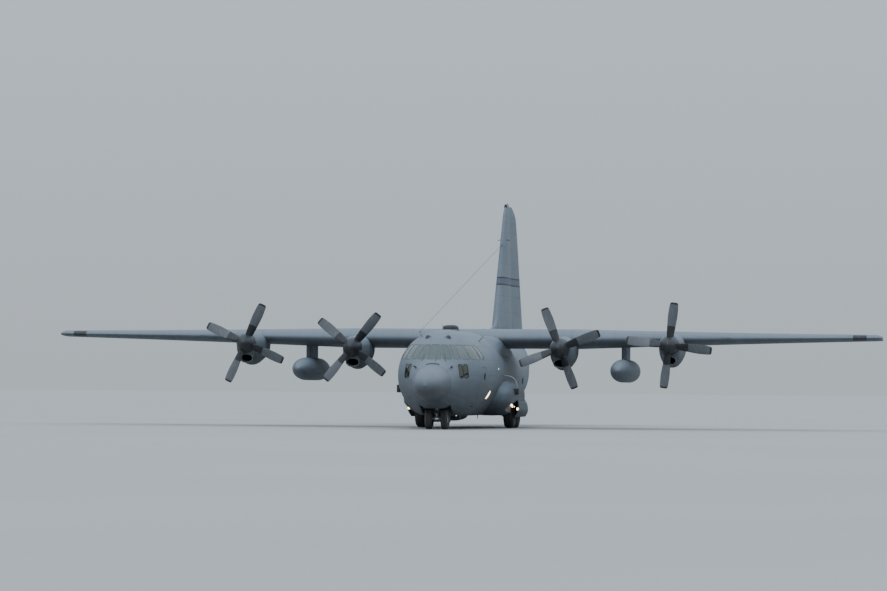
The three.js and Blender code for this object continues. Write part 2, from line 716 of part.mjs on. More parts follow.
function centreSolids(wingCut) {
  const outer = bodyLoft(NOSE_END + GAP / 2, CENTRE_END - GAP / 2);
  const aboveFloor = box([-FAR, 0, UNDERFLOOR], [FAR, FAR, FAR]);
  const inner = bodyLoft(NOSE_END - 100, CENTRE_END + 100, WALL).intersect(aboveFloor);
  const bulge = (side) => {
    const x = [side * HOLD_HALF_WIDTH, side * FAR].sort((a, b) => a - b);
    return box([x[0], WELL_BULGE.y[0], 0], [x[1], WELL_BULGE.y[1], WELL_BULGE.top]);
  };
  const well = box([WELL.x[0], WELL.y[0], 0], [FAR, WELL.y[1], WELL.top]);
  const half = JACK_PAD.size / 2;
  const pads = JACK_PAD.places.map(([x, y]) => (
    box([x - half, y - half, JACK_PAD.bottom], [x + half, y + half, JACK_PAD.bottom + half])
  ));
  const shell = without(outer, [without(inner, [bulge(1), bulge(-1)]), wingCut, well, mirrored(well)]);
  const floor = box(
    [-HOLD_HALF_WIDTH + 10, NOSE_END + GAP, UNDERFLOOR + GAP],
    [HOLD_HALF_WIDTH - 10, RAMP.frameY - 10, HOLD_FLOOR],
  ).intersect(bodyLoft(NOSE_END - 100, 18100, WALL + 1));
  return { fuselage_centre: joined([shell, ...pads]), cargo_floor: floor };
}

function aftSolids(tailCut) {
  const outer = bodyLoft(CENTRE_END + GAP / 2, LENGTH);
  const aboveFloor = box([-FAR, 0, UNDERFLOOR], [FAR, FAR, FAR]);
  const inner = bodyLoft(CENTRE_END - 100, AFT_CAVITY_END, WALL).intersect(aboveFloor);
  const rampSpace = (margin) => prism('x', [
    [margin ? RAMP.frameY : RAMP.frontY, 0],
    [margin ? RAMP.frameY : RAMP.frontY, HOLD_FLOOR + margin],
    [RAMP.topEnd[0] + margin, RAMP.topEnd[1] + margin],
    [RAMP.topEnd[0] + margin, 0],
  ], -HOLD_HALF_WIDTH - margin, HOLD_HALF_WIDTH + margin);
  const aboutRampHinge = (radius) => (
    rod([-FAR, RAMP.hingeY, RAMP.hingeZ], [FAR, RAMP.hingeY, RAMP.hingeZ], radius, 180)
  );
  const rampArc = aboutRampHinge(RAMP.endRadius);
  const doorSpace = (margin) => {
    const headroom = margin ? CARGO_DOOR.headroom : 0;
    const plan = prism('z', [
      [-CARGO_DOOR.front - margin, CARGO_DOOR.frontY],
      [CARGO_DOOR.front + margin, CARGO_DOOR.frontY],
      [CARGO_DOOR.aft + margin, CARGO_DOOR.hingeY + margin],
      [-CARGO_DOOR.aft - margin, CARGO_DOOR.hingeY + margin],
    ], 0, FAR);
    const below = prism('x', [
      [CARGO_DOOR.frontY, 0],
      [CARGO_DOOR.frontY, CARGO_DOOR.topFront + headroom],
      [CARGO_DOOR.hingeY + margin, CARGO_DOOR.topAft + headroom],
      [CARGO_DOOR.hingeY + margin, 0],
    ], -FAR, FAR);
    return plan.intersect(below);
  };
  const doorArc = aboutRampHinge(RAMP.endRadius + 2.2 * CLEAR);
  const hingeRods = (y, z, xs, radius) => xs.map((x) => rod([x - 80, y, z], [x + 80, y, z], radius, 12));
  const rampKnuckles = hingeRods(RAMP.hingeY, RAMP.hingeZ, [-700, 700], RAMP.hingeY - RAMP.frameY - GAP);
  const doorKnuckles = hingeRods(CARGO_DOOR.hingeY, CARGO_DOOR.hingeZ, [-500, 500], CLEAR - GAP);
  const skin = outer.subtract(inner);
  const sideDoor = (side) => skin.intersect(sideBox(PARA_DOOR, side, 0));
  return {
    fuselage_aft: largestPiece(without(outer, [
      inner,
      tailCut,
      rampSpace(CLEAR).intersect(doorArc),
      doorSpace(CLEAR).subtract(rampArc),
      sideBox(PARA_DOOR, 1, GAP),
      sideBox(PARA_DOOR, -1, GAP),
    ])),
    ramp: joined([largestPiece(outer.intersect(rampSpace(0)).intersect(rampArc)), ...rampKnuckles]),
    cargo_door: joined([largestPiece(outer.intersect(doorSpace(0)).subtract(doorArc)), ...doorKnuckles]),
    para_door_left: sideDoor(1),
    para_door_right: sideDoor(-1),
  };
}

// Sponsons and main gear

function sponsonRing([y, outer, top, bottom], inset = 0) {
  const wide = outer - SPONSON_CENTRE_X - inset;
  const middle = (top + bottom) / 2;
  const high = (top - bottom) / 2 - inset;
  const power = 2 / 2.8;
  return Array.from({ length: SPONSON_POINTS }, (_, i) => {
    const angle = (i / SPONSON_POINTS) * 2 * Math.PI;
    const c = Math.cos(angle);
    const s = Math.sin(angle);
    return [
      SPONSON_CENTRE_X + wide * Math.sign(c) * Math.abs(c) ** power,
      y,
      middle + high * Math.sign(s) * Math.abs(s) ** power,
    ];
  });
}

function gearSolids() {
  const [wall, roof] = [WELL.x[1], WELL.top];
  const wellSection = [[0, -FAR], [wall, -FAR], [wall, WELL.corner[1]], [WELL.corner[0], roof], [0, roof]];
  const sponson = without(loft(SPONSON.map((row) => sponsonRing(row))), [
    bodyLoft(9000, 17500, -GAP),
    prism('y', wellSection, WELL.y[0], WELL.y[1]),
    box([0, WELL.y[0], -FAR], [FAR, WELL.y[1], WELL.sideTop]),
    prism('z', LAMP_RECESS.plan, 0, 1500).intersect(prism('x', LAMP_RECESS.side, 2000, 3000)),
  ]);
  const gearDoor = loft(GEAR_DOOR.y.map((y, end) => {
    const outside = GEAR_DOOR_SECTION.map((row) => [row[end + 1], y, row[0]]);
    const inside = outside.map(([x, , z]) => [x - GEAR_DOOR.thickness, y, z]).reverse();
    return [...outside, ...inside];
  }));
  const struts = MAIN_AXLES_Y.flatMap((y) => [
    rod([STRUT.x, y, MAIN_WHEEL.radius - 120], [STRUT.x, y, WELL.top - GAP], STRUT.radius),
    rod([STRUT.x - 60, y, MAIN_WHEEL.radius], [TRACK / 2 + 60, y, MAIN_WHEEL.radius], MAIN_WHEEL.axle),
  ]);
  const beam = box([STRUT.x - 70, MAIN_AXLES_Y[0], 1560], [STRUT.x + 70, MAIN_AXLES_Y[1], 1740]);
  const leg = joined([...struts, beam]);
  const fairing = largestPiece(sponson.add(gearDoor));
  return {
    sponson_left: fairing,
    sponson_right: mirrored(fairing),
    main_leg_left: leg,
    main_leg_right: mirrored(leg),
  };
}

// A tyre's closed profile, [radius, distance from its centre plane]
function tyreSolid({ radius, width, rim }) {
  const half = width / 2;
  return turned([
    [rim, -half * 0.72], [mix(rim, radius, 0.5), -half], [mix(rim, radius, 0.86), -half * 0.9],
    [radius, -half * 0.42], [radius, half * 0.42], [mix(rim, radius, 0.86), half * 0.9],
    [mix(rim, radius, 0.5), half], [rim, half * 0.72], [rim, -half * 0.72],
  ], WHEEL_POINTS, 'x');
}

function mainHubSolid() {
  const rim = MAIN_WHEEL.rim - GAP;
  const bore = (MAIN_WHEEL.axle + 1) / Math.cos(Math.PI / WHEEL_POINTS);
  const half = MAIN_WHEEL.width * 0.36;
  return turned([
    [bore, -half + 40], [rim, -half], [rim, half], [rim - 30, half],
    [rim - 60, half - 90], [130, half - 70], [110, half - 10], [bore, half - 10], [bore, -half + 40],
  ], WHEEL_POINTS, 'x');
}

function noseHubsSolid() {
  const rim = NOSE_WHEEL.rim - GAP;
  const half = NOSE_WHEEL.width * 0.36;
  const [inner, outer] = [NOSE_WHEEL.x - half, NOSE_WHEEL.x + half];
  const side = [
    [NOSE_WHEEL.axle, inner + 20], [rim, inner], [rim, outer], [rim - 25, outer],
    [rim - 50, outer - 60], [80, outer - 40], [70, outer], [0, outer],
  ];
  const mirroredSide = side.map(([r, d]) => [r, -d]).reverse();
  return turned([...mirroredSide, ...side], WHEEL_POINTS, 'x');
}

function noseGearSolids() {
  const axleZ = NOSE_WHEEL.radius;
  const at = (solid) => solid.translate([0, NOSE_AXLE_Y, 0]);
  const bore = (NOSE_PISTON_RADIUS + GAP) / Math.cos(Math.PI / PISTON_POINTS);
  const roof = NOSE_WELL.top - GAP;
  const head = NOSE_LEG_RADIUS + 25;
  const barrel = turned([
    [0, roof], [head, roof], [head, roof - 80], [NOSE_LEG_RADIUS, roof - 110],
    [NOSE_LEG_RADIUS, 960], [bore, 960], [bore, 1300], [0, 1300],
  ], PISTON_POINTS, 'z');
  const wall = NOSE_WELL.y[1] - NOSE_AXLE_Y;
  const brace = rod([0, 95, 1180], [0, wall - 40, 1480], 45, 10);
  const foot = box([-120, wall - 90, 1420], [120, wall - GAP, 1560]);
  const axleBore = (NOSE_WHEEL.axle + 1) / Math.cos(Math.PI / WHEEL_POINTS);
  const axleHole = rod([-400, 0, axleZ], [400, 0, axleZ], axleBore, WHEEL_POINTS);
  const piston = [[0, axleZ], [NOSE_PISTON_RADIUS, axleZ], [NOSE_PISTON_RADIUS, 1296], [0, 1296]];
  const fork = joined([
    turned(piston, PISTON_POINTS, 'z'),
    rod([-130, 0, axleZ], [130, 0, axleZ], 100, GEAR_POINTS),
    turned([[0, 880], [110, 880], [110, 945], [0, 945]], GEAR_POINTS, 'z'),
    prism('x', [[60, 900], [230, 730], [110, 480], [60, 560]], -45, 45),
  ]).subtract(axleHole);
  const doorY = NOSE_WELL.y[1] + 6;
  const doorPlate = prism('x', [
    [doorY, 690], [doorY + 184, 330], [doorY + 219, 345], [doorY + 54, 790], [doorY, 790],
  ], -480, 480).subtract(bodyLoft(doorY - 200, doorY + 800, -GAP));
  return {
    nose_leg: at(joined([barrel, brace, foot])),
    nose_fork: at(fork),
    nose_door: largestPiece(doorPlate),
  };
}

// Engines, nacelles and propellers

function nacelleRing([y, halfWidth, top, bottom], x, hub, inset) {
  return Array.from({ length: NACELLE_POINTS }, (_, i) => {
    const angle = (i / NACELLE_POINTS) * 2 * Math.PI;
    const c = Math.cos(angle);
    const s = Math.sin(angle);
    const power = s >= 0 ? 1 : 0.85;
    const reach = s >= 0 ? top - inset : bottom - inset;
    return [
      x + (halfWidth - inset) * Math.sign(c) * Math.abs(c) ** power,
      y,
      hub + reach * Math.sign(s) * Math.abs(s) ** power,
    ];
  });
}

function nacelleLoft(x, hub, inset, rows = NACELLE) {
  return loft(rows.map((row) => nacelleRing(row, x, hub, inset)));
}

function engineSolids(x, hub, wingCut) {
  const cavityRows = NACELLE.filter((row) => row[0] > 9500 && row[0] < 13500)
    .map((row, i) => (i === 0 ? [row[0] - 120, ...row.slice(1)] : row));
  const cavity = nacelleLoft(x, hub, NACELLE_WALL, cavityRows);
  const front = NACELLE[0][0];
  const mouth = solidOf(new THREE.CylinderGeometry(1, 1, INTAKE.depth, NACELLE_POINTS)
    .scale(INTAKE.halfWidth, 1, INTAKE.halfHeight)
    .translate(x, front, hub - INTAKE.drop));
  const shaftHole = rod([x, front - 200, hub], [x, front + 200, hub], SHAFT_RADIUS + 2, 20);
  const nacelle = largestPiece(without(nacelleLoft(x, hub, 0), [cavity, mouth, shaftHole, wingCut]));
  const block = ENGINE_BLOCK;
  const arms = [10100, 11700].map((y) => box([x - FAR, y, hub - 360], [x + FAR, y + 160, hub - 240]));
  const room = nacelleLoft(x, hub, NACELLE_WALL + GAP, cavityRows);
  const core = box(
    [x - block.halfWidth, block.y[0], hub + block.bottom],
    [x + block.halfWidth, block.y[1], hub + block.top],
  );
  const engine = joined([core, ...arms]).intersect(room);
  const shaft = rod([x, PROP_Y + 212 + GAP, hub], [x, block.y[0] + 200, hub], SHAFT_RADIUS, 20);
  const gearbox = box([x - 200, block.y[0] - 150, hub - 300], [x + 200, block.y[0] + 250, hub + 200]);
  return { nacelle, engine: joined([engine, shaft, gearbox]).subtract(wingCut) };
}

function bladeRing([radius, chord, thickness, pitch]) {
  const turn = radians(pitch);
  return Array.from({ length: BLADE_POINTS }, (_, i) => {
    const angle = (i / BLADE_POINTS) * 2 * Math.PI;
    const across = Math.cos(angle) * (chord / 2);
    const through = Math.sin(angle) * (thickness / 2);
    return [
      across * Math.cos(turn) - through * Math.sin(turn),
      across * Math.sin(turn) + through * Math.cos(turn),
      radius,
    ];
  });
}

// One propeller about the origin, its axis along y and its first blade straight up
function propellerSolid() {
  const spinner = turned([
    [0, -570], [120, -525], [270, -375], [390, -170], [SPINNER_RADIUS, 0], [SPINNER_RADIUS, 212], [0, 212],
  ], SPINNER_POINTS, 'y');
  const blade = loft(BLADE.map((row) => bladeRing(row)));
  const blades = Array.from({ length: BLADES }, (_, i) => blade.rotate([0, (i * 360) / BLADES, 0]));
  return joined([spinner, ...blades]);
}

// Pylon tanks

function tankSolid(wingCut) {
  const x = TANK.x;
  const profile = TANK_PROFILE.map(([y, radius]) => [radius, y]);
  const tank = turned(profile, TANK_POINTS, 'y').translate([x, 0, TANK.z]);
  const [front, back] = PYLON.y;
  const pylon = loft([TANK.z, PYLON.top].map((z) => [
    [x, front, z],
    [x + PYLON.halfWidth, front + PYLON.taper[0], z],
    [x + PYLON.halfWidth, back - PYLON.taper[1], z],
    [x, back, z],
    [x - PYLON.halfWidth, back - PYLON.taper[1], z],
    [x - PYLON.halfWidth, front + PYLON.taper[0], z],
  ]));
  return largestPiece(tank.add(pylon).subtract(wingCut));
}

// Assembly

const plane = new THREE.Group();
plane.scale.setScalar(SCALE);
plane.position.y = (-LENGTH / 2) * SCALE;

function place(name, shape, colour, position = [0, 0, 0], turnY = 0) {
  const [color, roughness, metalness] = COLOURS[colour];
  const geometry = shape.isBufferGeometry ? shape : geometryOf(shape);
  const mesh = new THREE.Mesh(geometry, new THREE.MeshStandardMaterial({ color, roughness, metalness }));
  mesh.name = name;
  mesh.position.set(...position);
  mesh.rotation.y = turnY;
  plane.add(mesh);
}

const wingCut = grownWing();
const nodeColours = {
  windscreen: 'glass',
  lower_window_left: 'glass',
  lower_window_right: 'glass',
  flight_deck: 'interior',
  cargo_floor: 'floor',
  main_leg_left: 'strut',
  main_leg_right: 'strut',
  nose_leg: 'strut',
  nose_fork: 'strut',
};

place('radome', bodyLoft(0, RADOME_END - GAP / 2), 'radome');
const fixedShapes = {
  ...noseSolids(),
  ...centreSolids(wingCut),
  ...aftSolids(grownTailplane()),
  ...wingPanels(),
  ...tailSolids(),
  ...gearSolids(),
  ...noseGearSolids(),
};
for (const [name, shape] of Object.entries(fixedShapes)) {
  place(name, shape, nodeColours[name] ?? 'skin');
}

const propeller = geometryOf(propellerSolid());
for (const engine of ENGINES) {
  const [name, x, hub, bladeAngle] = engine;
  const solids = engineSolids(Math.abs(x), hub, wingCut);
  const turnOver = (solid) => (x > 0 ? solid : mirrored(solid));
  place(`nacelle_${name}`, turnOver(solids.nacelle), 'skin');
  place(`engine_${name}`, turnOver(solids.engine), 'engine');
  place(`propeller_${name}`, propeller, 'propeller', [x, PROP_Y, hub], radians(bladeAngle));
}

const tank = tankSolid(wingCut);
place('tank_left', tank, 'skin');
place('tank_right', mirrored(tank), 'skin');

const mainTyre = geometryOf(tyreSolid(MAIN_WHEEL));
const mainHub = geometryOf(mainHubSolid());
for (const [side, label] of [[1, 'left'], [-1, 'right']]) {
  for (const [index, row] of ['front', 'rear'].entries()) {
    const position = [(side * TRACK) / 2, MAIN_AXLES_Y[index], MAIN_WHEEL.radius];
    place(`main_tyre_${row}_${label}`, mainTyre, 'tyre', position);
    place(`main_hub_${row}_${label}`, mainHub, 'wheel', position);
  }
}
const noseTyre = geometryOf(tyreSolid(NOSE_WHEEL));
for (const [side, label] of [[1, 'left'], [-1, 'right']]) {
  place(`nose_tyre_${label}`, noseTyre, 'tyre', [side * NOSE_WHEEL.x, NOSE_AXLE_Y, NOSE_WHEEL.radius]);
}
place('nose_hubs', noseHubsSolid(), 'wheel', [0, NOSE_AXLE_Y, NOSE_WHEEL.radius]);

export default plane;
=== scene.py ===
import math

import bmesh
import bpy
import numpy as np
from mathutils import Matrix, Vector


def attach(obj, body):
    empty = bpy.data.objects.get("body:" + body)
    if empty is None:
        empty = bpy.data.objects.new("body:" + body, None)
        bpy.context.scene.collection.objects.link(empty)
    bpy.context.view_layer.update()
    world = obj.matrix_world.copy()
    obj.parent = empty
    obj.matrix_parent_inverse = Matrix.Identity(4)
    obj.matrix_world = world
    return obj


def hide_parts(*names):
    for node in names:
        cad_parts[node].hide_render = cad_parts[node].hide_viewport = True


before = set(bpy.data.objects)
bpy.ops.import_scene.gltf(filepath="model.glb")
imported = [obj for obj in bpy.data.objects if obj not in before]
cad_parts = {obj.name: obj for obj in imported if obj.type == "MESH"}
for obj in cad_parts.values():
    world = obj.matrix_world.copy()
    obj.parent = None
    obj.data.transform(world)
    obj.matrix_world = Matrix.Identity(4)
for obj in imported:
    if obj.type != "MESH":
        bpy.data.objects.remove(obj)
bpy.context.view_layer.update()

# A four-engined military transport plane as a 1:2 model. Sizes in the tables are the real aircraft's,
# in millimetres: x to its left, y aft of the nose tip, z up. Meshes are made in the model's metres.
SCALE = 0.5
MM = SCALE / 1000
LENGTH = 29790
SPAN = 40410
TRACK = 4350
# The gap between parts that meet, the room round a moving part, and a reach past all of the plane
GAP = 0.6
CLEAR = 14
FAR = 30000
SIDES = ((1, "left"), (-1, "right"))

# Fuselage sections: y, half width, top, waist, bottom, reach of the lower half, its corner power
BODY = [
    (0, 30, 2035, 2005, 1975, 1, 2), (70, 255, 2265, 2010, 1755, 1, 2), (230, 440, 2455, 2020, 1585, 1, 2),
    (520, 600, 2635, 2040, 1445, 1, 2), (1000, 735, 2800, 2075, 1350, 1, 2),
    (1500, 815, 2910, 2105, 1300, 1, 2), (2050, 875, 3005, 2140, 1275, 1, 2),
    (2400, 1050, 3190, 2220, 1140, 1.02, 2), (2800, 1240, 3640, 2300, 1000, 1.05, 2),
    (3300, 1475, 4110, 2390, 860, 1.08, 2), (3900, 1755, 4400, 2460, 750, 1.11, 2),
    (4500, 2000, 4550, 2490, 680, 1.13, 2), (5000, 2085, 4610, 2505, 650, 1.14, 2),
    (5700, 2135, 4650, 2510, 630, 1.14, 2), (6500, 2160, 4670, 2510, 620, 1.14, 2),
    (17050, 2160, 4670, 2510, 620, 1.14, 2), (18000, 2150, 4670, 2530, 640, 1.12, 2.2),
    (19500, 2100, 4670, 2720, 1080, 1.06, 2.8), (21100, 2000, 4665, 2950, 1550, 1.02, 3.3),
    (23000, 1740, 4650, 3250, 2180, 1, 3.3), (25000, 1370, 4620, 3560, 2880, 1, 2.8),
    (27000, 950, 4570, 3860, 3400, 1, 2.4), (28600, 560, 4500, 4060, 3750, 1, 2.1),
    (29600, 250, 4390, 4180, 4000, 1, 2), (29790, 60, 4250, 4190, 4130, 1, 2),
]
BODY_POINTS = 96
INNER_POINTS = 48
WALL = 110
RADOME_END, NOSE_END, CENTRE_END = 2050, 5460, 17050
HOLD_FLOOR = 1030
UNDERFLOOR = 950
HOLD_HALF_WIDTH = 1560
DECK_Z = 2000
BULKHEAD = 80
BULKHEAD_DOOR = {"half_width": 400, "top": 2950, "reach": 300}
AFT_CAVITY_END = 28500

# Rows of cockpit windows: spans as angles from the nose about (0, WINDOW_CENTRE_Y), heights, and the
# radius at which their cutters start
WINDOW_CENTRE_Y = 4000
UPPER = {"spans": [(-13, 13), (15.5, 33), (36, 53), (57, 80), (84, 108), (112, 123)], "z": (3250, 3920),
         "inner": 300}
LOWER = {"spans": [(43, 52), (55, 66.5)], "z": (2400, 3000), "inner": 900}
PANE_SKIN = 40
PANE_THICKNESS = 30
PANE_MARGIN = 60
PANE_EDGE = 1.6
PANE_EDGE_PLAY = 0.003
PANE_RADIUS = 1500
PANE_CORNER = 75
CUTTER_RADII = (*range(950, 2200, 125), 3600)

CREW_DOOR = {"y": (4480, 5240), "z": (1060, 2890), "hinge_x": 1525, "knuckles_y": (4620, 5100)}
# How far the crew door's lower edge stands back, so that it clears the skin when the door is down
DOOR_TRIM = 8
PARA_DOOR = {"y": (17120, 17935), "z": (1100, 2880)}
# The round windows in the doors: y, z, radius
CREW_PORTHOLE = (4860, 2480, 130)
PARA_PORTHOLE = (17530, 2330, 140)
RAMP = {"hinge_y": 17975, "hinge_z": 660, "front_y": 17990, "frame_y": 17955, "end_radius": 3248,
        "top_end": (21300, 1750)}
CARGO_DOOR = {"front_y": 20930, "hinge_y": 24985, "hinge_z": 2985, "front": 1430, "aft": 800,
              "top_front": 1665, "top_aft": 2995, "headroom": 400}
# How far the edges round the ramp's rear end stand off it
ARC_ROOM = 2.2 * CLEAR
RAIL_X = (-1180, -430, 430, 1180)
# Where the wing runs through the top of the hold
WING_CARRY = {"y": (11100, 16250), "bottom": 3650}

WING = {"root_y": 11230, "root_z": 4330, "root_chord": 4880, "tip_chord": 2480, "tip_z": 4475,
        "break_x": 5590, "root_ratio": 0.195, "tip_ratio": 0.12, "camber": 0.02, "incidence": 3}
WING_STATIONS = (5590, 9000, 12500, 16000, 19900, 20205)
# The share of its chord that a rounded tip keeps
TIP_ROUND = 0.78
# How far round its hinge line the front of a moving surface starts, from straight aft
LIP_ANGLE = 115
# Moving surfaces of the wing: name, inner end, outer end, hinge line as a share of the chord
WING_SURFACES = [("flap_inner", 2300, 5500, 0.74), ("flap_outer", 5700, 12200, 0.74),
                 ("aileron", 12500, 19300, 0.72)]

FIN = {"root_z": 4500, "tip_z": 11660, "root_le": 22800, "tip_le": 26330, "root_te": 29650, "tip_te": 28350,
       "ratio": 0.12}
# How far the rounded tip takes the fin's front and rear edge in: z, front, rear
FIN_TIP = [(4500, 0, 0), (9400, 0, 0), (10900, 0, 60), (11250, 60, 330), (11500, 220, 620), (11620, 480, 820),
           (11660, 800, 950)]
DORSAL = [(17600, 4700), (20000, 4850), (22400, 5200), (24000, 5900)]
DORSAL_HALF_WIDTH = 110
RUDDER = {"hinge_y": 27200, "z": (4700, 11480), "deflection": 13}
TAILPLANE = {"half": 8025, "z": 4720, "root_le": 23850, "tip_le": 25250, "root_te": 28250, "tip_te": 27550,
             "ratio": 0.12}
TAIL_STATIONS = (0, 4000, 7750, 8025)
ELEVATOR = {"root_y": 27000, "tip_y": 26780, "x": (1080, 7500)}

# Engines: name, x, hub height, clockwise blade angle seen from ahead
ENGINES = [("outer_right", -10260, 4020, 24.4), ("inner_right", -5030, 3850, 39),
           ("inner_left", 5030, 3850, -21.3), ("outer_left", 10260, 4020, 6.9)]
PROP_Y = 9100
NACELLE = [(9360, 470, 480, 870), (9550, 520, 530, 910), (10200, 550, 570, 1010), (10750, 560, 590, 1050),
           (11400, 560, 600, 990), (12100, 555, 560, 850), (13000, 450, 330, 660), (13900, 270, 60, 430)]
NACELLE_WALL = 50
INTAKE = {"drop": 730, "half_width": 300, "half_height": 190, "depth": 500}
# Blade sections: distance from the axis, chord, thickness, pitch
BLADE = [(300, 300, 230, 46), (500, 420, 180, 42), (900, 460, 100, 34), (1400, 480, 58, 22),
         (2055, 400, 24, 12)]
CUFF_END = 930
TIP_BAND = 1965
TANK = {"x": 7770, "z": 2800}
TANK_PROFILE = [(9600, 0), (9660, 120), (9900, 265), (10400, 420), (11000, 510), (11750, 555), (14850, 555),
                (15700, 470), (16600, 320), (17300, 150), (17600, 0)]
PYLON = {"y": (12280, 14410), "half_width": 120, "taper": (160, 120), "top": 4300}

MAIN_AXLES_Y = (12650, 14170)
NOSE_AXLE_Y = 3640
# Half the width of a wheel's hub as a share of its tyre's width
HUB_SHARE = 0.36
HUB_HOLES = 9
MAIN_WHEEL = {"radius": 710, "width": 510, "rim": 300, "axle": 75}
NOSE_WHEEL = {"radius": 495, "width": 330, "rim": 215, "axle": 58, "x": 375}
STRUT_X = 1800
WELL = {"x": (1620, 2480), "y": (11750, 15070), "top": 2150, "side_top": 1330, "corner": (2240, 1880)}
WELL_BULGE = {"y": (11600, 15220), "top": 2300}
SPONSON = [(9100, 2050, 1700, 1250), (9350, 2400, 1960, 1000), (9800, 2600, 2160, 830),
           (10500, 2690, 2330, 680), (11500, 2700, 2400, 600), (14100, 2700, 2400, 600),
           (15100, 2560, 2400, 600), (16200, 2390, 2220, 800), (17040, 2160, 1800, 1250)]
SPONSON_CENTRE_X = 1400
SPONSON_CORNER = 2.8
SPONSON_CAP = 180
GEAR_DOOR = {"y": (11800, 15020), "thickness": 44}
# Gear door section: z, outer x at its front end, outer x at its rear end
GEAR_DOOR_SECTION = [(530, 2550, 2620), (700, 2665, 2725), (890, 2730, 2765), (1150, 2735, 2725),
                     (1385, 2695, 2605)]
# The recess in a sponson ahead of its gear door: seen from above, (x, y), and from the side, (y, z)
LAMP_RECESS = {"plan": [(2900, 9700), (2290, 9950), (2350, 11760), (2900, 11760)],
               "side": [(9600, 0), (9600, 1100), (11760, 1400), (11760, 0)]}
NOSE_WELL = {"half_width": 730, "y": (2900, 4420), "top": 1620}
# The fairing under a wing's root: its full section (x, z), and how much of it there is at each y
ROOT_FAIRING = [(1905, 3480), (1990, 3640), (2035, 3800), (2045, 3950), (2020, 4110), (1950, 4250),
                (1800, 4360), (1500, 4440)]
ROOT_FAIRING_GROWTH = [(10350, 0.02), (10600, 0.3), (10900, 0.62), (11200, 0.87), (11500, 1), (12400, 1),
                       (13600, 0.86), (15000, 0.5), (16200, 0.05)]
# Antennas on the fuselage: y, angle, height, root chord, tip chord, sweep
ANTENNAS = [(7050, 49, 330, 300, 170, 160), (4220, 116, 300, 260, 140, 120), (6600, 96, 240, 260, 150, 110),
            (18900, 90, 280, 300, 160, 140), (6950, 285, 190, 300, 170, 120), (8300, 270, 170, 240, 150, 80),
            (10400, 262, 200, 260, 150, 110), (16600, 270, 220, 260, 150, 110)]


# Meshes. A shape is a closed mesh datablock in the model's metres.

def at(x, y, z):
    """A point of the tables in the model's metres."""
    return Vector((x * MM, (y - LENGTH / 2) * MM, z * MM))


HOME = Matrix.Translation(-at(0, 0, 0))
PLACE = {"x": lambda u, v, d: (d, u, v), "y": lambda u, v, d: (u, d, v), "z": lambda u, v, d: (u, v, d)}


def circle(count):
    """The cosines and sines of a full turn in equal steps."""
    return [(math.cos(t), math.sin(t)) for t in (2 * math.pi * i / count for i in range(count))]


def mix(a, b, t):
    return a + (b - a) * t


def bent(value, power):
    """A sine or cosine to a power, with its sign kept."""
    return math.copysign(abs(value) ** power, value)


def reworked(mesh, change):
    work = bmesh.new()
    work.from_mesh(mesh)
    change(work)
    work.to_mesh(mesh)
    work.free()
    return mesh


def closed_mesh(points, faces):
    def turn_out(work):
        if work.calc_volume(signed=True) < 0:
            bmesh.ops.reverse_faces(work, faces=work.faces)

    mesh = bpy.data.meshes.new("shape")
    mesh.from_pydata([at(*p) for p in points], [], faces)
    return reworked(mesh, turn_out)


def loft(rings):
    """A closed skin over rings of points with the same count."""
    count = len(rings[0])
    last = count * (len(rings) - 1)
    faces = [tuple(range(count)), tuple(range(last, last + count))[::-1]]
    for start in range(0, last, count):
        for i in range(count):
            a, b = start + i, start + (i + 1) % count
            faces.append((b, a, a + count, b + count))
    return closed_mesh([p for ring in rings for p in ring], faces)


def prism(axis, outline, low, high):
    """An outline pushed along one axis: x takes (y, z), y takes (x, z), z takes (x, y)."""
    return loft([[PLACE[axis](u, v, d) for u, v in outline] for d in (low, high)])


def box(low, high):
    (x0, y0, z0), (x1, y1, z1) = low, high
    return prism("x", [(y0, z0), (y0, z1), (y1, z1), (y1, z0)], x0, x1)


def turned(profile, points, axis, centre=(0, 0, 0)):
    """A profile of (radius, distance) turned about an axis through centre."""
    closed = profile[0] == profile[-1]
    vertices, rings, faces = [], [], []
    for radius, distance in profile[:-1] if closed else profile:
        count = points if radius > 0 else 1
        rings.append(range(len(vertices), len(vertices) + count))
        for c, s in circle(points)[:count]:
            local = PLACE[axis](radius * c, radius * s, distance)
            vertices.append([middle + p for middle, p in zip(centre, local)])
    for a, b in zip(rings, rings[1:] + (rings[:1] if closed else [])):
        for i in range(points):
            j = (i + 1) % points
            face = tuple(dict.fromkeys([a[i % len(a)], a[j % len(a)], b[j % len(b)], b[i % len(b)]]))
            if len(face) > 2:
                faces.append(face)
    return closed_mesh(vertices, faces)


def ring_about(centre, side, up, radius, points):
    return [tuple(centre + side * radius * c + up * radius * s) for c, s in circle(points)]


def rod(start, end, radius, points=16, end_radius=None):
    a, b = Vector(start), Vector(end)
    along = (b - a).normalized()
    side = along.orthogonal().normalized()
    up = along.cross(side)
    ends = (a, radius), (b, end_radius or radius)
    return loft([ring_about(place, side, up, r, points) for place, r in ends])


def pipe(route, radius, points=10):
    """A tube along a route of points, with joined ends at each bend."""
    nodes = [Vector(p) for p in route]
    rings = []
    side = None
    for i, node in enumerate(nodes):
        before = node - nodes[i - 1] if i else nodes[1] - node
        after = nodes[i + 1] - node if i + 1 < len(nodes) else before
        along = (before.normalized() + after.normalized()).normalized()
        side = along.orthogonal() if side is None else side - along * side.dot(along)
        side.normalize()
        rings.append(ring_about(node, side, along.cross(side), radius, points))
    return loft(rings)


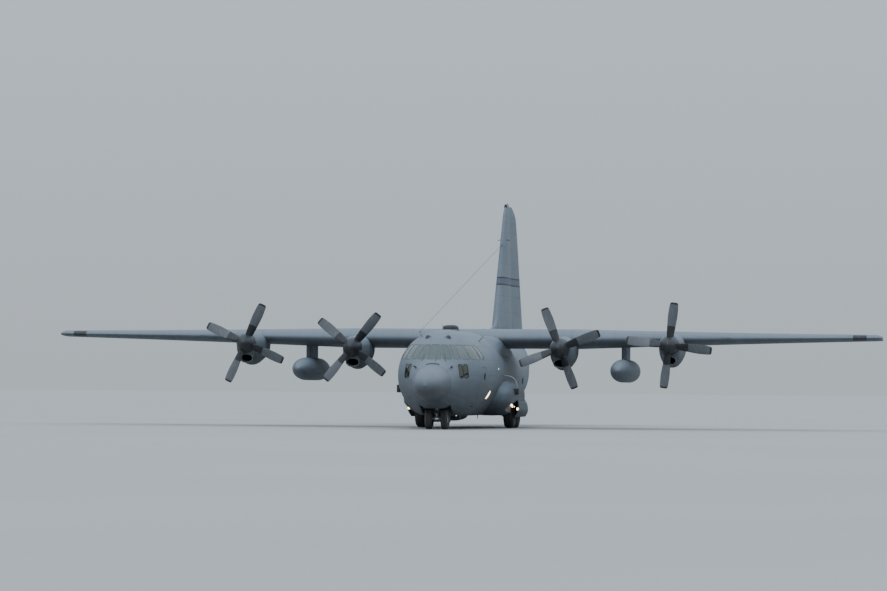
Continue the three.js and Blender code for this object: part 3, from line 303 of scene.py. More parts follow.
def hoop(route, normal, radius, points=8):
    """A tube along a closed flat route."""
    nodes, normal = [Vector(p) for p in route], Vector(normal)
    vertices, faces = [], []
    for i, node in enumerate(nodes):
        along = (nodes[(i + 1) % len(nodes)] - nodes[i - 1]).normalized()
        vertices += ring_about(node, along.cross(normal), normal, radius, points)
        a, b = i * points, (i + 1) % len(nodes) * points
        faces += [(a + k, a + (k + 1) % points, b + (k + 1) % points, b + k) for k in range(points)]
    return closed_mesh(vertices, faces)


def arc_route(start, middle, end, steps=10):
    """Points on the smooth curve that starts and ends at two points and is pulled towards a third."""
    a, b, c = Vector(start), Vector(middle), Vector(end)
    return [a * (1 - t) ** 2 + b * 2 * t * (1 - t) + c * t * t for t in (i / steps for i in range(steps + 1))]


def oval(x, y, z, half_width, half_height, points=40):
    return [(x + half_width * c, y, z + half_height * s) for c, s in circle(points)]


def dome(radius, height, square=1.0, sunk=40, points=40):
    """A round cap; a square below 1 makes its sides steeper."""
    arc = [math.radians(90 * i / 8) for i in range(1, 9)]
    profile = [(radius * math.sin(t) ** square, height * max(0, math.cos(t)) ** square) for t in arc]
    return turned([(0, height), *profile, (radius, -sunk), (0, -sunk)], points, "z")


def soft_box(low, high, bevel=12):
    """A box with rounded edges."""
    return reworked(box(low, high), lambda work: bmesh.ops.bevel(
        work, geom=work.edges[:], offset=bevel * MM, segments=3, profile=0.5, affect="EDGES"))


def combined(meshes):
    """Several meshes as one, with nothing joined."""
    def add_all(work):
        for mesh in meshes:
            work.from_mesh(mesh)

    return reworked(bpy.data.meshes.new("shape"), add_all)


def boolean(base, tools, operation):
    """Joins, cuts or keeps what closed meshes share."""
    items = []
    for mesh in (base, *tools):
        item = bpy.data.objects.new("step", mesh)
        bpy.context.scene.collection.objects.link(item)
        items.append(item)
    for tool in items[1:]:
        modifier = items[0].modifiers.new("step", "BOOLEAN")
        modifier.object = tool
        modifier.operation = operation
        modifier.solver = "MANIFOLD"
    depsgraph = bpy.context.evaluated_depsgraph_get()
    result = bpy.data.meshes.new_from_object(items[0].evaluated_get(depsgraph))
    for item in items:
        bpy.data.objects.remove(item)
    return result


def cut(base, *tools):
    return boolean(base, tools, "DIFFERENCE")


def joined(base, *tools):
    return boolean(base, tools, "UNION")


def shared(base, *tools):
    return boolean(base, tools, "INTERSECT")


def mirrored(mesh):
    copy = moved(mesh, Matrix.Diagonal((-1, 1, 1, 1)))
    copy.flip_normals()
    return copy


def turned_over(mesh, side):
    return mesh if side > 0 else mirrored(mesh)


def moved(mesh, matrix):
    copy = mesh.copy()
    copy.transform(matrix)
    return copy


def stood(mesh, place, out=(0, 0, 1)):
    """A mesh that was made about the tables' origin, stood at a place with its z axis along out."""
    up = Vector(out).normalized()
    reference = Vector((0, 0, -1)) if abs(up.y) > 0.9 else Vector((0, 1, 0))
    right = reference.cross(up).normalized()
    axes = Matrix((right, up.cross(right), up)).transposed().to_4x4()
    return moved(mesh, Matrix.Translation(at(*place)) @ axes @ HOME)


def largest_piece(mesh):
    """The biggest of a mesh's separate pieces."""
    def drop_others(work):
        seen, best = set(), []
        for seed in work.verts:
            if seed in seen:
                continue
            group = [seed]
            seen.add(seed)
            for vertex in group:
                for edge in vertex.link_edges:
                    other = edge.other_vert(vertex)
                    if other not in seen:
                        seen.add(other)
                        group.append(other)
            best = max(best, group, key=len)
        keep = set(best)
        bmesh.ops.delete(work, geom=[v for v in work.verts if v not in keep], context="VERTS")

    return reworked(mesh, drop_others)


def smooth_rows(rows, wanted):
    """A table's columns at other places along its first column, smooth and with no overshoot."""
    table = np.array(rows, float)
    x = table[:, 0]
    step = np.diff(x)[:, None]
    slope = np.diff(table, axis=0) / step
    left, right = slope[:-1], slope[1:]
    same = left * right > 0
    safe_left, safe_right = np.where(same, left, 1), np.where(same, right, 1)
    w_left, w_right = 2 * step[1:] + step[:-1], step[1:] + 2 * step[:-1]
    tangent = np.zeros_like(table)
    tangent[1:-1] = np.where(same, (w_left + w_right) / (w_left / safe_left + w_right / safe_right), 0)
    tangent[0], tangent[-1] = slope[0], slope[-1]
    result = []
    for place in wanted:
        i = int(np.clip(np.searchsorted(x, place) - 1, 0, len(x) - 2))
        h = x[i + 1] - x[i]
        t = (place - x[i]) / h
        result.append(table[i] * (1 + 2 * t) * (1 - t) ** 2 + tangent[i] * h * t * (1 - t) ** 2
                      + table[i + 1] * t * t * (3 - 2 * t) + tangent[i + 1] * h * t * t * (t - 1))
    return result


# Pieces of the plane. A name, body or node of a pair has {} for the side.

def show(name, mesh, finish, body="airframe", slot=None, node=None, crease=32):
    """Makes a piece of the plane from a mesh. A node is the CAD solid that it takes the place of."""
    mesh.shade_smooth()
    mesh.set_sharp_from_angle(angle=math.radians(crease))
    mesh.materials.clear()
    mesh.materials.append(FINISHES[finish])
    piece = bpy.data.objects.new(name, mesh)
    bpy.context.scene.collection.objects.link(piece)
    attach(piece, body)
    if node:
        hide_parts(node)
    return piece


def show_pair(name, mesh, finish, body="airframe", **more):
    for side, label in SIDES:
        show(name.format(label), turned_over(mesh, side).copy(), finish, body.format(label), **more)


def cover(node, mesh, finish="body", body="airframe", name=None, inside=None):
    """The skin of a CAD node. Its faces that look inward can have another finish."""
    piece = show((name or node) + "_skin", mesh, finish, body, node=node)
    if not inside:
        return
    piece.data.materials.append(FINISHES[inside])
    places, waists = zip(*[(at(0, row[0], 0).y, row[3] * MM) for row in BODY])
    for face in piece.data.polygons:
        away = Vector((face.center.x, 0, face.center.z - np.interp(face.center.y, places, waists)))
        face.material_index = int(face.normal.dot(away.normalized()) < 0.02)


def cover_pair(node, mesh, finish="body", body="airframe"):
    for side, label in SIDES:
        cover(node.format(label), turned_over(mesh, side).copy(), finish, body.format(label))


# Materials

class Graph:
    """A node material in the making. Values are sockets, numbers or colours."""

    def __init__(self, name):
        self.material = bpy.data.materials.new(name)
        self.material.use_nodes = True
        self.nodes = self.material.node_tree.nodes
        self.shader = self.nodes["Principled BSDF"]
        self.coordinates = self.nodes.new("ShaderNodeTexCoord").outputs
        self.object = self.coordinates["Object"]

    def feed(self, socket, value):
        if isinstance(value, bpy.types.NodeSocket):
            self.material.node_tree.links.new(value, socket)
        else:
            socket.default_value = (*value, 1) if socket.type == "RGBA" else value

    def add(self, kind, options=None, **inputs):
        node = self.nodes.new(kind)
        for key, value in (options or {}).items():
            setattr(node, key, value)
        for key, value in inputs.items():
            self.feed(node.inputs[key.replace("_", " ")], value)
        return node

    def parts(self, vector):
        return self.add("ShaderNodeSeparateXYZ", Vector=vector).outputs

    def math(self, operation, *values):
        node = self.add("ShaderNodeMath", {"operation": operation})
        for socket, value in zip(node.inputs, values):
            self.feed(socket, value)
        return node.outputs[0]

    def times(self, a, b):
        return self.math("MULTIPLY", a, b)

    def plus(self, a, b):
        return self.math("ADD", a, b)

    def minus(self, a, b):
        return self.math("SUBTRACT", a, b)

    def length(self, a, b):
        return self.math("SQRT", self.plus(self.times(a, a), self.times(b, b)))

    def step(self, value, low, high):
        """0 below low, 1 above high and smooth between them."""
        return self.add("ShaderNodeMapRange", {"interpolation_type": "SMOOTHSTEP"},
                        Value=value, From_Min=low, From_Max=high).outputs["Result"]

    def noise(self, scale, detail=4, roughness=0.55, stretch=None):
        vector = self.object
        if stretch:
            node = self.add("ShaderNodeVectorMath", {"operation": "MULTIPLY"})
            self.feed(node.inputs[0], vector)
            node.inputs[1].default_value = stretch
            vector = node.outputs[0]
        return self.add("ShaderNodeTexNoise", Scale=scale, Detail=detail, Roughness=roughness,
                        Vector=vector).outputs["Fac"]

    def over(self, color, top, share, amount=1):
        """A colour with another one over it by a share."""
        node = self.add("ShaderNodeMix", {"data_type": "RGBA"})
        for socket, value in ((0, share if amount == 1 else self.times(share, amount)), (6, color), (7, top)):
            self.feed(node.inputs[socket], value)
        return node.outputs[2]

    def bump(self, height, distance, strength=1.0, normal=None):
        node = self.add("ShaderNodeBump", Height=height, Distance=distance, Strength=strength)
        if normal:
            self.feed(node.inputs["Normal"], normal)
        return node.outputs["Normal"]

    def finish(self, color, roughness, normal=None, **fixed):
        self.feed(self.shader.inputs["Base Color"], color)
        self.feed(self.shader.inputs["Roughness"], roughness)
        if normal:
            self.feed(self.shader.inputs["Normal"], normal)
        for key, value in fixed.items():
            self.feed(self.shader.inputs[key.replace("_", " ")], value)
        return self.material


PAINT = (0.152, 0.184, 0.214)
PAINT_LIGHT = (0.190, 0.226, 0.258)
PAINT_DARK = (0.108, 0.131, 0.153)
# A dark grey for dirt and dark joints, and also for painted shade on faces that look down
GRIME_AND_SHADE = (0.042, 0.044, 0.045)
SOOT = (0.020, 0.020, 0.021)
RIVET_PITCH = 0.019
# Painted surfaces: panel length and height in metres, how dark painted shade makes the underside and, where
# the panels run round a body, the axis of that body (x, z) and its radius in metres
PAINTED = {
    "body": (0.76, 0.37, 0.68, (0, 2510, 1.06)),
    "wing": (0.62, 0.24, 0.6, None),
    "fin": (0.55, 0.42, 0.3, None),
    "nacelle_outer": (0.38, 0.235, 0.95, (10260, 3820, 0.3)),
    "nacelle_inner": (0.38, 0.235, 0.95, (5030, 3650, 0.3)),
    "tank": (0.8, 0.44, 0.5, (7770, 2800, 0.28)),
}
# The band across the tail: the lower and upper edge of its field, and the width of the lines along them
BAND = {"low": 7285, "high": 7715, "line": 75, "soft": 0.002}


def panel_coordinates(g, layout):
    """Flat panel coordinates of a surface, in metres: along it and across it."""
    x, y, z = g.parts(g.object)
    if not PAINTED[layout][3]:
        return (x, y) if layout == "wing" else (y, z)
    centre, height, radius = PAINTED[layout][3]
    out = g.minus(g.math("ABSOLUTE", x), centre * MM) if centre else x
    return y, g.times(g.math("ARCTAN2", g.minus(z, height * MM), out), radius)


def skin_material(layout):
    """Weathered grey paint over panels with seams and rivet rows, and painted shade on the faces that look
    down.
    """
    g = Graph("paint_" + layout)
    along, across = panel_coordinates(g, layout)
    length, height, underside_shade, _ = PAINTED[layout]
    flat = g.add("ShaderNodeCombineXYZ", X=along, Y=across).outputs[0]

    def bricks(mortar, smooth):
        return g.add("ShaderNodeTexBrick", {"offset": 0.5, "offset_frequency": 2}, Vector=flat,
                     Color1=(0, 0, 0), Color2=(1, 1, 1), Mortar=(0.5, 0.5, 0.5), Scale=1.0,
                     Mortar_Size=mortar, Mortar_Smooth=smooth, Brick_Width=length, Row_Height=height).outputs

    seams = bricks(0.0022, 0.6)
    seam = seams["Fac"]
    tone = g.add("ShaderNodeSeparateColor", Color=seams["Color"]).outputs[0]
    cell = [g.minus(g.math("FRACT", g.math("DIVIDE", way, RIVET_PITCH)), 0.5) for way in (along, across)]
    rivets = g.times(g.minus(1, g.step(g.length(*cell), 0.12, 0.2)), bricks(0.016, 0)["Fac"])

    fine = g.noise(9, 6, 0.65)
    flow = g.noise(1.0, 5, stretch=(7, 0.5, 3) if layout == "wing" else (7, 0.7, 7))
    color = g.over(g.over(PAINT_DARK, PAINT_LIGHT, g.noise(0.55, 3)), PAINT, 0.45)
    # Painted shade: the more a face looks down, the darker it is painted, in uneven streaks
    shade_below = g.times(g.step(g.parts(g.coordinates["Normal"])[2], 0.6, -0.5), g.plus(0.6, g.times(flow, 0.6)))
    for top, share, amount in (
            (PAINT_LIGHT, tone, 0.16), (PAINT_DARK, g.step(flow, 0.52, 0.78), 0.35),
            (PAINT_LIGHT, g.step(fine, 0.55, 0.8), 0.22), (GRIME_AND_SHADE, g.step(fine, 0.42, 0.2), 0.3),
            (GRIME_AND_SHADE, shade_below, underside_shade), (SOOT, stain_share(g, layout, flow), 1)):
        color = g.over(color, top, share, amount)
    if layout == "fin":
        color = tail_band(g, color)
    color = g.over(g.over(color, PAINT_DARK, rivets, 0.35), GRIME_AND_SHADE, seam, 0.62)

    dents = g.bump(g.noise(2.2, 2), 0.006, 0.35)
    normal = g.bump(rivets, 0.0008, 0.8, g.bump(g.times(seam, -1), 0.0016, 1.0, dents))
    return g.finish(color, g.plus(0.5, g.times(fine, 0.28)), normal, Metallic=0.08, Specular_IOR_Level=0.42)


def stain_share(g, layout, flow):
    """Soot and oil behind the engines, and streaks that make the body darker towards the bottom."""
    x, y, z = g.parts(g.object)
    if layout == "body":
        return g.times(g.step(z, 0.75, 0.3), g.times(g.step(flow, 0.45, 0.75), 0.3))
    if layout in ("fin", "tank"):
        return g.times(g.step(flow, 0.6, 0.85), 0.12)
    near = [g.step(g.math("ABSOLUTE", g.minus(g.math("ABSOLUTE", x), engine[1] * MM)), 0.42, 0.12)
            for engine in ENGINES[2:]]
    start, full, last, end = (at(0, station, 0).y for station in (11500, 13300, 17500, 19000))
    aft = g.times(g.step(y, start, full), g.step(y, end, last))
    streaks = g.plus(0.12, g.times(g.step(flow, 0.3, 0.75), 0.5))
    return g.times(g.times(g.math("MAXIMUM", *near), aft), streaks)


def tail_band(g, color):
    z = g.parts(g.object)[2]
    low, high, line, soft = BAND.values()

    def between(bottom, top):
        return g.times(g.step(z, bottom * MM - soft, bottom * MM + soft),
                       g.step(z, top * MM + soft, top * MM - soft))

    edges = g.math("MAXIMUM", between(low, low + line), between(high - line, high))
    color = g.over(color, (0.045, 0.068, 0.105), between(low, high), 0.55)
    return g.over(color, (0.016, 0.018, 0.022), edges, 0.85)


def radome_material():
    g = Graph("radome_paint")
    fine, chips = g.noise(11, 6, 0.65), g.noise(34, 3, 0.7)
    tip = g.step(g.parts(g.object)[1], at(0, 500, 0).y, at(0, 0, 0).y)
    worn = g.times(g.step(chips, 0.6, 0.66), g.plus(0.08, g.times(tip, 0.5)))
    # The radome's grey is darker than the body's: partly its own paint, partly painted shade
    color = g.over((0.122, 0.149, 0.176), (0.138, 0.167, 0.195), g.noise(0.9, 3))
    color = g.over(g.over(color, PAINT_DARK, g.step(fine, 0.5, 0.75), 0.15), GRIME_AND_SHADE, worn, 0.4)
    # Painted shade: the radome gets darker the more its faces look down
    color = g.over(color, GRIME_AND_SHADE, g.step(g.parts(g.coordinates["Normal"])[2], 0.72, -0.48), 0.8)
    return g.finish(color, g.plus(0.42, g.times(fine, 0.2)), g.bump(chips, 0.0004), Specular_IOR_Level=0.45)


def tyre_material():
    g = Graph("tyre_rubber")
    fine = g.noise(40, 6)
    color = g.over((0.030, 0.030, 0.031), (0.070, 0.067, 0.062), g.step(g.noise(3, 4), 0.4, 0.75))
    color = g.over(color, (0.08, 0.075, 0.068), g.step(fine, 0.5, 0.8), 0.5)
    return g.finish(color, g.plus(0.7, g.times(fine, 0.2)), g.bump(fine, 0.0008))


def blade_material():
    """Grey blades with black cuffs round their roots and dark tips, rubbed along their edges."""
    g = Graph("blade_paint")
    x, _, z = g.parts(g.object)
    reach = g.math("MINIMUM", *[
        g.length(g.minus(g.math("ABSOLUTE", x), centre * MM), g.minus(z, hub * MM))
        for _, centre, hub, _ in ENGINES[2:]])
    fine = g.noise(16, 6, 0.65)
    scuff = g.noise(5, 5, stretch=(4, 4, 1))
    grey = g.over((0.085, 0.092, 0.100), (0.125, 0.130, 0.137), g.step(scuff, 0.45, 0.8))
    black = g.over((0.010, 0.011, 0.013), (0.026, 0.027, 0.030), g.step(scuff, 0.5, 0.8))
    cuff, tip = (g.step(reach, edge * MM - soft, edge * MM + soft)
                 for edge, soft in ((CUFF_END, -0.004), (TIP_BAND, 0.004)))
    color = g.over(grey, black, g.math("MAXIMUM", cuff, tip))
    color = g.over(color, (0.16, 0.16, 0.16), g.step(fine, 0.62, 0.75), 0.3)
    return g.finish(color, g.plus(0.36, g.times(fine, 0.3)), g.bump(fine, 0.0003))


def plain_material(name, base, dark, roughness, metallic=0.0, scale=14, bump=0.0006):
    """A finish with mottled colour, uneven gloss and a fine grain."""
    g = Graph(name)
    fine = g.noise(scale, 6, 0.6)
    color = g.over(base, dark, g.step(fine, 0.35, 0.75))
    color = g.over(color, dark, g.step(g.noise(scale / 8, 3), 0.45, 0.75), 0.4)
    return g.finish(color, g.plus(roughness - 0.1, g.times(fine, 0.2)), g.bump(fine, bump), Metallic=metallic)


def glass_material(name, tint, clear):
    g = Graph(name)
    haze = g.noise(6, 5)
    rough = g.plus(0.03, g.times(g.step(haze, 0.4, 0.9), 0.1))
    return g.finish(g.over([0.82 * c for c in tint], tint, haze), rough, IOR=1.45, Transmission_Weight=clear)


def glow_material(name, color, strength):
    g = Graph(name)
    shade = g.over(color, [c * 0.8 for c in color], g.noise(60, 2))
    return g.finish(shade, 0.15, Emission_Color=shade, Emission_Strength=strength)


# Plain finishes: slot, colour, second colour, roughness, then metallic, scale and bump
PLAIN = {
    "spinner": ("propeller", (0.022, 0.024, 0.028), (0.012, 0.013, 0.015), 0.5, 0, 9),
    "wheel": ("wheel_metal", (0.34, 0.36, 0.37), (0.12, 0.12, 0.115), 0.5, 0.3),
    "strut": ("strut_metal", (0.36, 0.39, 0.40), (0.16, 0.165, 0.17), 0.42, 0.35),
    "chrome": ("floor_metal", (0.62, 0.63, 0.64), (0.45, 0.45, 0.46), 0.16, 1.0, 14, 0.0001),
    "dark": ("strut_metal", (0.03, 0.031, 0.033), (0.015, 0.015, 0.016), 0.55, 0.3),
    "black": ("radome", (0.014, 0.014, 0.015), (0.03, 0.03, 0.031), 0.6),
    "engine": ("engine_metal", (0.10, 0.10, 0.098), (0.05, 0.046, 0.042), 0.5, 0.7),
    "exhaust": ("engine_metal", (0.10, 0.075, 0.06), (0.035, 0.028, 0.026), 0.5, 0.8, 10),
    "interior": ("interior", (0.16, 0.18, 0.165), (0.09, 0.10, 0.094), 0.6),
    "floor": ("floor_metal", (0.13, 0.135, 0.135), (0.07, 0.07, 0.07), 0.5, 0.4, 8),
    "primer": ("interior", (0.36, 0.38, 0.36), (0.29, 0.30, 0.285), 0.55),
    "antenna": ("skin", (0.12, 0.14, 0.155), (0.07, 0.08, 0.09), 0.5),
    "sensor": ("radome", (0.040, 0.050, 0.062), (0.026, 0.031, 0.038), 0.4),
    "seal": ("radome", (0.095, 0.113, 0.128), (0.07, 0.08, 0.09), 0.7),
    "frame": ("skin", (0.105, 0.125, 0.142), (0.07, 0.082, 0.092), 0.55),
    "edge": ("radome", (0.035, 0.04, 0.045), (0.02, 0.022, 0.024), 0.7),
    # Painted highlight: a light grey for the conduit that stands in for a bright edge on a sponson
    "highlight_grey": ("skin", (0.36, 0.39, 0.41), (0.26, 0.28, 0.30), 0.5),
}
GLOWS = {"lamp": ((1.0, 0.70, 0.42), 8), "white_lamp": ((0.85, 0.92, 0.95), 2.5),
         "lens": ((0.62, 0.66, 0.68), 0.5), "red_glass": ((0.35, 0.02, 0.02), 0.15),
         "red_lamp": ((0.9, 0.05, 0.07), 2.0), "green_lamp": ((0.1, 0.75, 0.42), 0.6)}
FINISHES = {
    **{layout: skin_material(layout) for layout in PAINTED},
    **{name: plain_material(name, *row[1:]) for name, row in PLAIN.items()},
    **{name: glow_material(name, *row) for name, row in GLOWS.items()},
    "radome": radome_material(),
    "tyre": tyre_material(),
    "blade": blade_material(),
    "glass": glass_material("cockpit_glass", (0.165, 0.205, 0.19), 0.4),
    "side_glass": glass_material("side_glass", (0.035, 0.050, 0.026), 0.5),
}
# The slot of each finish; those left out are glass
SLOTS = {**dict.fromkeys(PAINTED, "skin"), **{name: row[0] for name, row in PLAIN.items()},
         "radome": "radome", "tyre": "tyre", "blade": "propeller"}

# The CAD nodes that keep their own shape take these finishes
CAD_FINISH = {"flight_deck": "interior", "cargo_floor": "floor", "main_leg_left": "strut",
              "main_leg_right": "strut", "nose_leg": "strut", "nose_fork": "strut"}
for node_name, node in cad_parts.items():
    node.data.materials.clear()
    node.data.materials.append(FINISHES[CAD_FINISH.get(
        node_name, "engine" if node_name.startswith("engine") else "body")])


# Fuselage

def body_at(y):
    return smooth_rows(BODY, [y])[0]


def body_ring(y, inset=0, points=BODY_POINTS):
    _, half_width, top, waist, bottom, reach, power = body_at(y)
    wide, floor = half_width - inset, bottom + inset
    drop = (waist - floor) * reach
    return [(wide * c, y, waist + (top - inset - waist) * s) if s >= 0 else
            (wide * bent(c, 2 / power), y, max(waist - drop * abs(s) ** (2 / power), floor))
            for c, s in circle(points)]


def body_loft(start, end, inset=0, points=BODY_POINTS):
    """The fuselage between two places. It has its rings close together where it curves."""
    places = [0, 12, 35, 70, 120, 200, 300, 450, 650, 900, 1200, 1500, 1800, *range(2050, 6600, 150),
              *range(7000, 17050, 1000), *range(17050, 29400, 250), 29500, 29600, 29700, 29760, 29790]
    stations = [start, *[y for y in places if start + 5 < y < end - 5], end]
    return loft([body_ring(y, inset, points) for y in stations])


def body_surface(y, angle, out=0):
    """A point of the fuselage's skin at an angle in degrees up from its left side."""
    return body_ring(y, -out, 720)[int(round((angle % 360) * 2)) % 720]


def side_x(y, z):
    """The fuselage's half width at a height."""
    _, half_width, top, waist, bottom, reach, power = body_at(y)
    if z >= waist:
        return half_width * math.sqrt(1 - ((z - waist) / (top - waist)) ** 2)
    return half_width * (1 - ((waist - z) / ((waist - bottom) * reach)) ** power) ** (1 / power)


def side_angle(y, z):
    """The angle of the fuselage's left side at a height, as body_surface takes it."""
    _, _, top, waist, bottom, reach, power = body_at(y)
    if z >= waist:
        return math.degrees(math.asin((z - waist) / (top - waist)))
    return 360 - math.degrees(math.asin(((waist - z) / ((waist - bottom) * reach)) ** (power / 2)))


def about_windows(angle, radius):
    """The x and y of a place round the centre that the windows' angles are measured from."""
    return math.sin(angle) * radius, WINDOW_CENTRE_Y - math.cos(angle) * radius


def pane_cutters(row, margin=0):
    """The openings of a row of windows, with round corners, pushed outward from the cockpit's centre."""
    corner = PANE_CORNER + margin
    spread, turn = (math.degrees(length / PANE_RADIUS) for length in (margin, corner))
    low, high = row["z"][0] - margin, row["z"][1] + margin
    cutters = []
    for span in row["spans"]:
        start, end = span[0] - spread, span[1] + spread
        outline = []
        for a, z, first in ((end, high, 0), (start, high, 90), (start, low, 180), (end, low, 270)):
            centre = a - math.copysign(turn, a - (start + end) / 2)
            middle = z - math.copysign(corner, z - (low + high) / 2)
            for t in (math.radians(first + 90 * k / 6) for k in range(7)):
                outline.append((math.radians(centre + turn * math.cos(t)), middle + corner * math.sin(t)))
        for side in (1,) if span[0] < 0 else (1, -1):
            cutters.append(loft([[(*about_windows(a * side, radius), z) for a, z in outline]
                                 for radius in (row["inner"], *CUTTER_RADII)]))
    return cutters


def glazing_band(row, side, inset, thickness, shrink):
    """The sheet behind a row of panes, or the pocket that it lies in."""
    spans = row["spans"]
    edge = PANE_EDGE - (PANE_EDGE_PLAY if shrink else 0)
    start = side * ((-spans[-1][1] if spans[0][0] < 0 else spans[0][0]) - edge)
    end = side * (spans[-1][1] + edge)
    steps = max(1, math.ceil(abs(end - start) / 30))
    rim = [about_windows(math.radians(mix(start, end, i / steps)), FAR / 4) for i in range(steps + 1)]
    fan = prism("z", [(0, WINDOW_CENTRE_Y), *rim], row["z"][0] - PANE_MARGIN + shrink,
                row["z"][1] + PANE_MARGIN - shrink)
    outer = body_loft(RADOME_END + 100, NOSE_END - 100, inset)
    return shared(cut(outer, body_loft(RADOME_END + 50, NOSE_END - 50, inset + thickness)), fan)


def side_box(door, side, margin):
    """The space of a door in the fuselage's side, grown by a margin."""
    x = sorted((side * 1000, side * FAR))
    (front, back), (low, high) = door["y"], door["z"]
    return box((x[0], front - margin, low - margin), (x[1], back + margin, high + margin))


def hinge_rods(places, radius, points, along):
    """Rods along a hinge line, each with its middle at a place and half as long as along says."""
    step = Vector(along)
    return [rod(Vector(place) - step, Vector(place) + step, radius, points) for place in places]


def porthole(side, y, z, radius):
    """The hole in a door for its round window."""
    return rod((side * 1000, y, z), (side * 3000, y, z), radius, 32)


def make_nose():
    outer = body_loft(RADOME_END + GAP / 2, NOSE_END - GAP / 2)
    inner = body_loft(RADOME_END + 150, NOSE_END - BULKHEAD, WALL, INNER_POINTS)
    above = box((-FAR, 0, DECK_Z), (FAR, FAR, FAR))
    entrance = box((-FAR, NOSE_WELL["y"][1] + WALL, HOLD_FLOOR), (FAR, FAR, FAR))
    half, top, reach = BULKHEAD_DOOR.values()
    doorway = box((-half, NOSE_END - reach, HOLD_FLOOR), (half, NOSE_END + reach, top))
    half, (front, back), top = NOSE_WELL.values()
    well = box((-half, front, -FAR), (half, back, top))
    bands = (("windscreen", UPPER, 1), ("lower_window_left", LOWER, 1), ("lower_window_right", LOWER, -1))
    pockets = [glazing_band(row, side, PANE_SKIN, WALL, 0) for _, row, side in bands]
    nose = cut(outer, shared(inner, joined(above, entrance)), doorway, well, side_box(CREW_DOOR, 1, CLEAR),
               *pockets, *pane_cutters(UPPER), *pane_cutters(LOWER))
    cover("nose_section", nose, name="nose", inside="interior")

    low, high = CREW_DOOR["z"]
    door = shared(cut(outer, inner), side_box({**CREW_DOOR, "z": (low + DOOR_TRIM, high)}, 1, 0))
    knuckles = hinge_rods([(CREW_DOOR["hinge_x"], y, low) for y in CREW_DOOR["knuckles_y"]], CLEAR - GAP, 12,
                          (0, 50, 0))
    door = joined(cut(door, porthole(1, *CREW_PORTHOLE)), *knuckles)
    cover("crew_door", door, body="crew_door", inside="interior")
    cover("radome", body_loft(0, RADOME_END - GAP / 2), "radome")
    for node, row, side in bands:
        show(node + "_glass", glazing_band(row, side, PANE_SKIN + 1, PANE_THICKNESS, 2), "glass", node=node)


def make_centre():
    outer = body_loft(NOSE_END + GAP / 2, CENTRE_END - GAP / 2)
    inner = shared(body_loft(NOSE_END - 100, CENTRE_END + 100, WALL, INNER_POINTS),
                   box((-FAR, 0, UNDERFLOOR), (FAR, FAR, FAR)))
    bulges, wells = [], []
    for side, _ in SIDES:
        for found, inside, space in ((bulges, HOLD_HALF_WIDTH, WELL_BULGE), (wells, WELL["x"][0], WELL)):
            x = sorted((side * inside, side * FAR))
            found.append(box((x[0], space["y"][0], 0), (x[1], space["y"][1], space["top"])))
    shell = cut(outer, cut(inner, *bulges), grown_wing(), *wells)
    cover("fuselage_centre", shell, name="centre", inside="primer")


def ramp_space(margin):
    """The ramp, or with a margin its opening, before the arc at its rear end is cut."""
    front = RAMP["frame_y"] if margin else RAMP["front_y"]
    end_y, end_z = (end + margin for end in RAMP["top_end"])
    outline = [(front, 0), (front, HOLD_FLOOR + margin), (end_y, end_z), (end_y, 0)]
    return prism("x", outline, -HOLD_HALF_WIDTH - margin, HOLD_HALF_WIDTH + margin)


def cargo_door_space(margin):
    """The cargo door or, with a margin, its opening."""
    d = CARGO_DOOR
    front_y, aft_y, headroom = d["front_y"], d["hinge_y"] + margin, d["headroom"] if margin else 0
    front, aft = d["front"] + margin, d["aft"] + margin
    plan = prism("z", [(-front, front_y), (front, front_y), (aft, aft_y), (-aft, aft_y)], 0, FAR)
    below = prism("x", [(front_y, 0), (front_y, d["top_front"] + headroom), (aft_y, d["top_aft"] + headroom),
                        (aft_y, 0)], -FAR, FAR)
    return shared(plan, below)


def ramp_arc(extra):
    """A cylinder about the ramp's hinge line, as far out as its rear end."""
    y, z = RAMP["hinge_y"], RAMP["hinge_z"]
    return rod((-FAR, y, z), (FAR, y, z), RAMP["end_radius"] + extra, 360)


def make_aft():
    outer = body_loft(CENTRE_END + GAP / 2, LENGTH)
    inner = shared(body_loft(CENTRE_END - 100, AFT_CAVITY_END, WALL, INNER_POINTS),
                   box((-FAR, 0, UNDERFLOOR), (FAR, FAR, FAR)))
    near, wide = ramp_arc(0), ramp_arc(ARC_ROOM)
    skin = cut(outer, inner)
    aft = cut(outer, inner, grown_tail(), shared(ramp_space(CLEAR), wide), cut(cargo_door_space(CLEAR), near),
              side_box(PARA_DOOR, 1, GAP), side_box(PARA_DOOR, -1, GAP))
    cover("fuselage_aft", largest_piece(aft), name="aft", inside="primer")
    for side, label in SIDES:
        door = shared(skin, side_box(PARA_DOOR, side, 0))
        cover(f"para_door_{label}", cut(door, porthole(side, *PARA_PORTHOLE)), inside="primer")
    ramp = shared(outer, ramp_space(0), near)
    door = cut(shared(outer, cargo_door_space(0)), wide)
    for node, solid, hinge, x, radius, inside in (
            ("ramp", ramp, RAMP, 700, RAMP["hinge_y"] - RAMP["frame_y"] - GAP, "floor"),
            ("cargo_door", door, CARGO_DOOR, 500, CLEAR - GAP, "primer")):
        places = [(way * x, hinge["hinge_y"], hinge["hinge_z"]) for way in (-1, 1)]
        solid = joined(largest_piece(solid), *hinge_rods(places, radius, 16, (80, 0, 0)))
        cover(node, solid, body=node, inside=inside)


# Wing and tail

# Where a section has its points, as shares of its chord
FRACTIONS = [0.5 * (1 - math.cos(math.pi * i / 24)) for i in range(1, 24)]


def foil_half_height(f, ratio):
    """Half a section's thickness at a share of its chord, for a chord of 1."""
    return 5 * ratio * (0.2969 * math.sqrt(f) - 0.126 * f - 0.3516 * f**2 + 0.2843 * f**3 - 0.1036 * f**4)


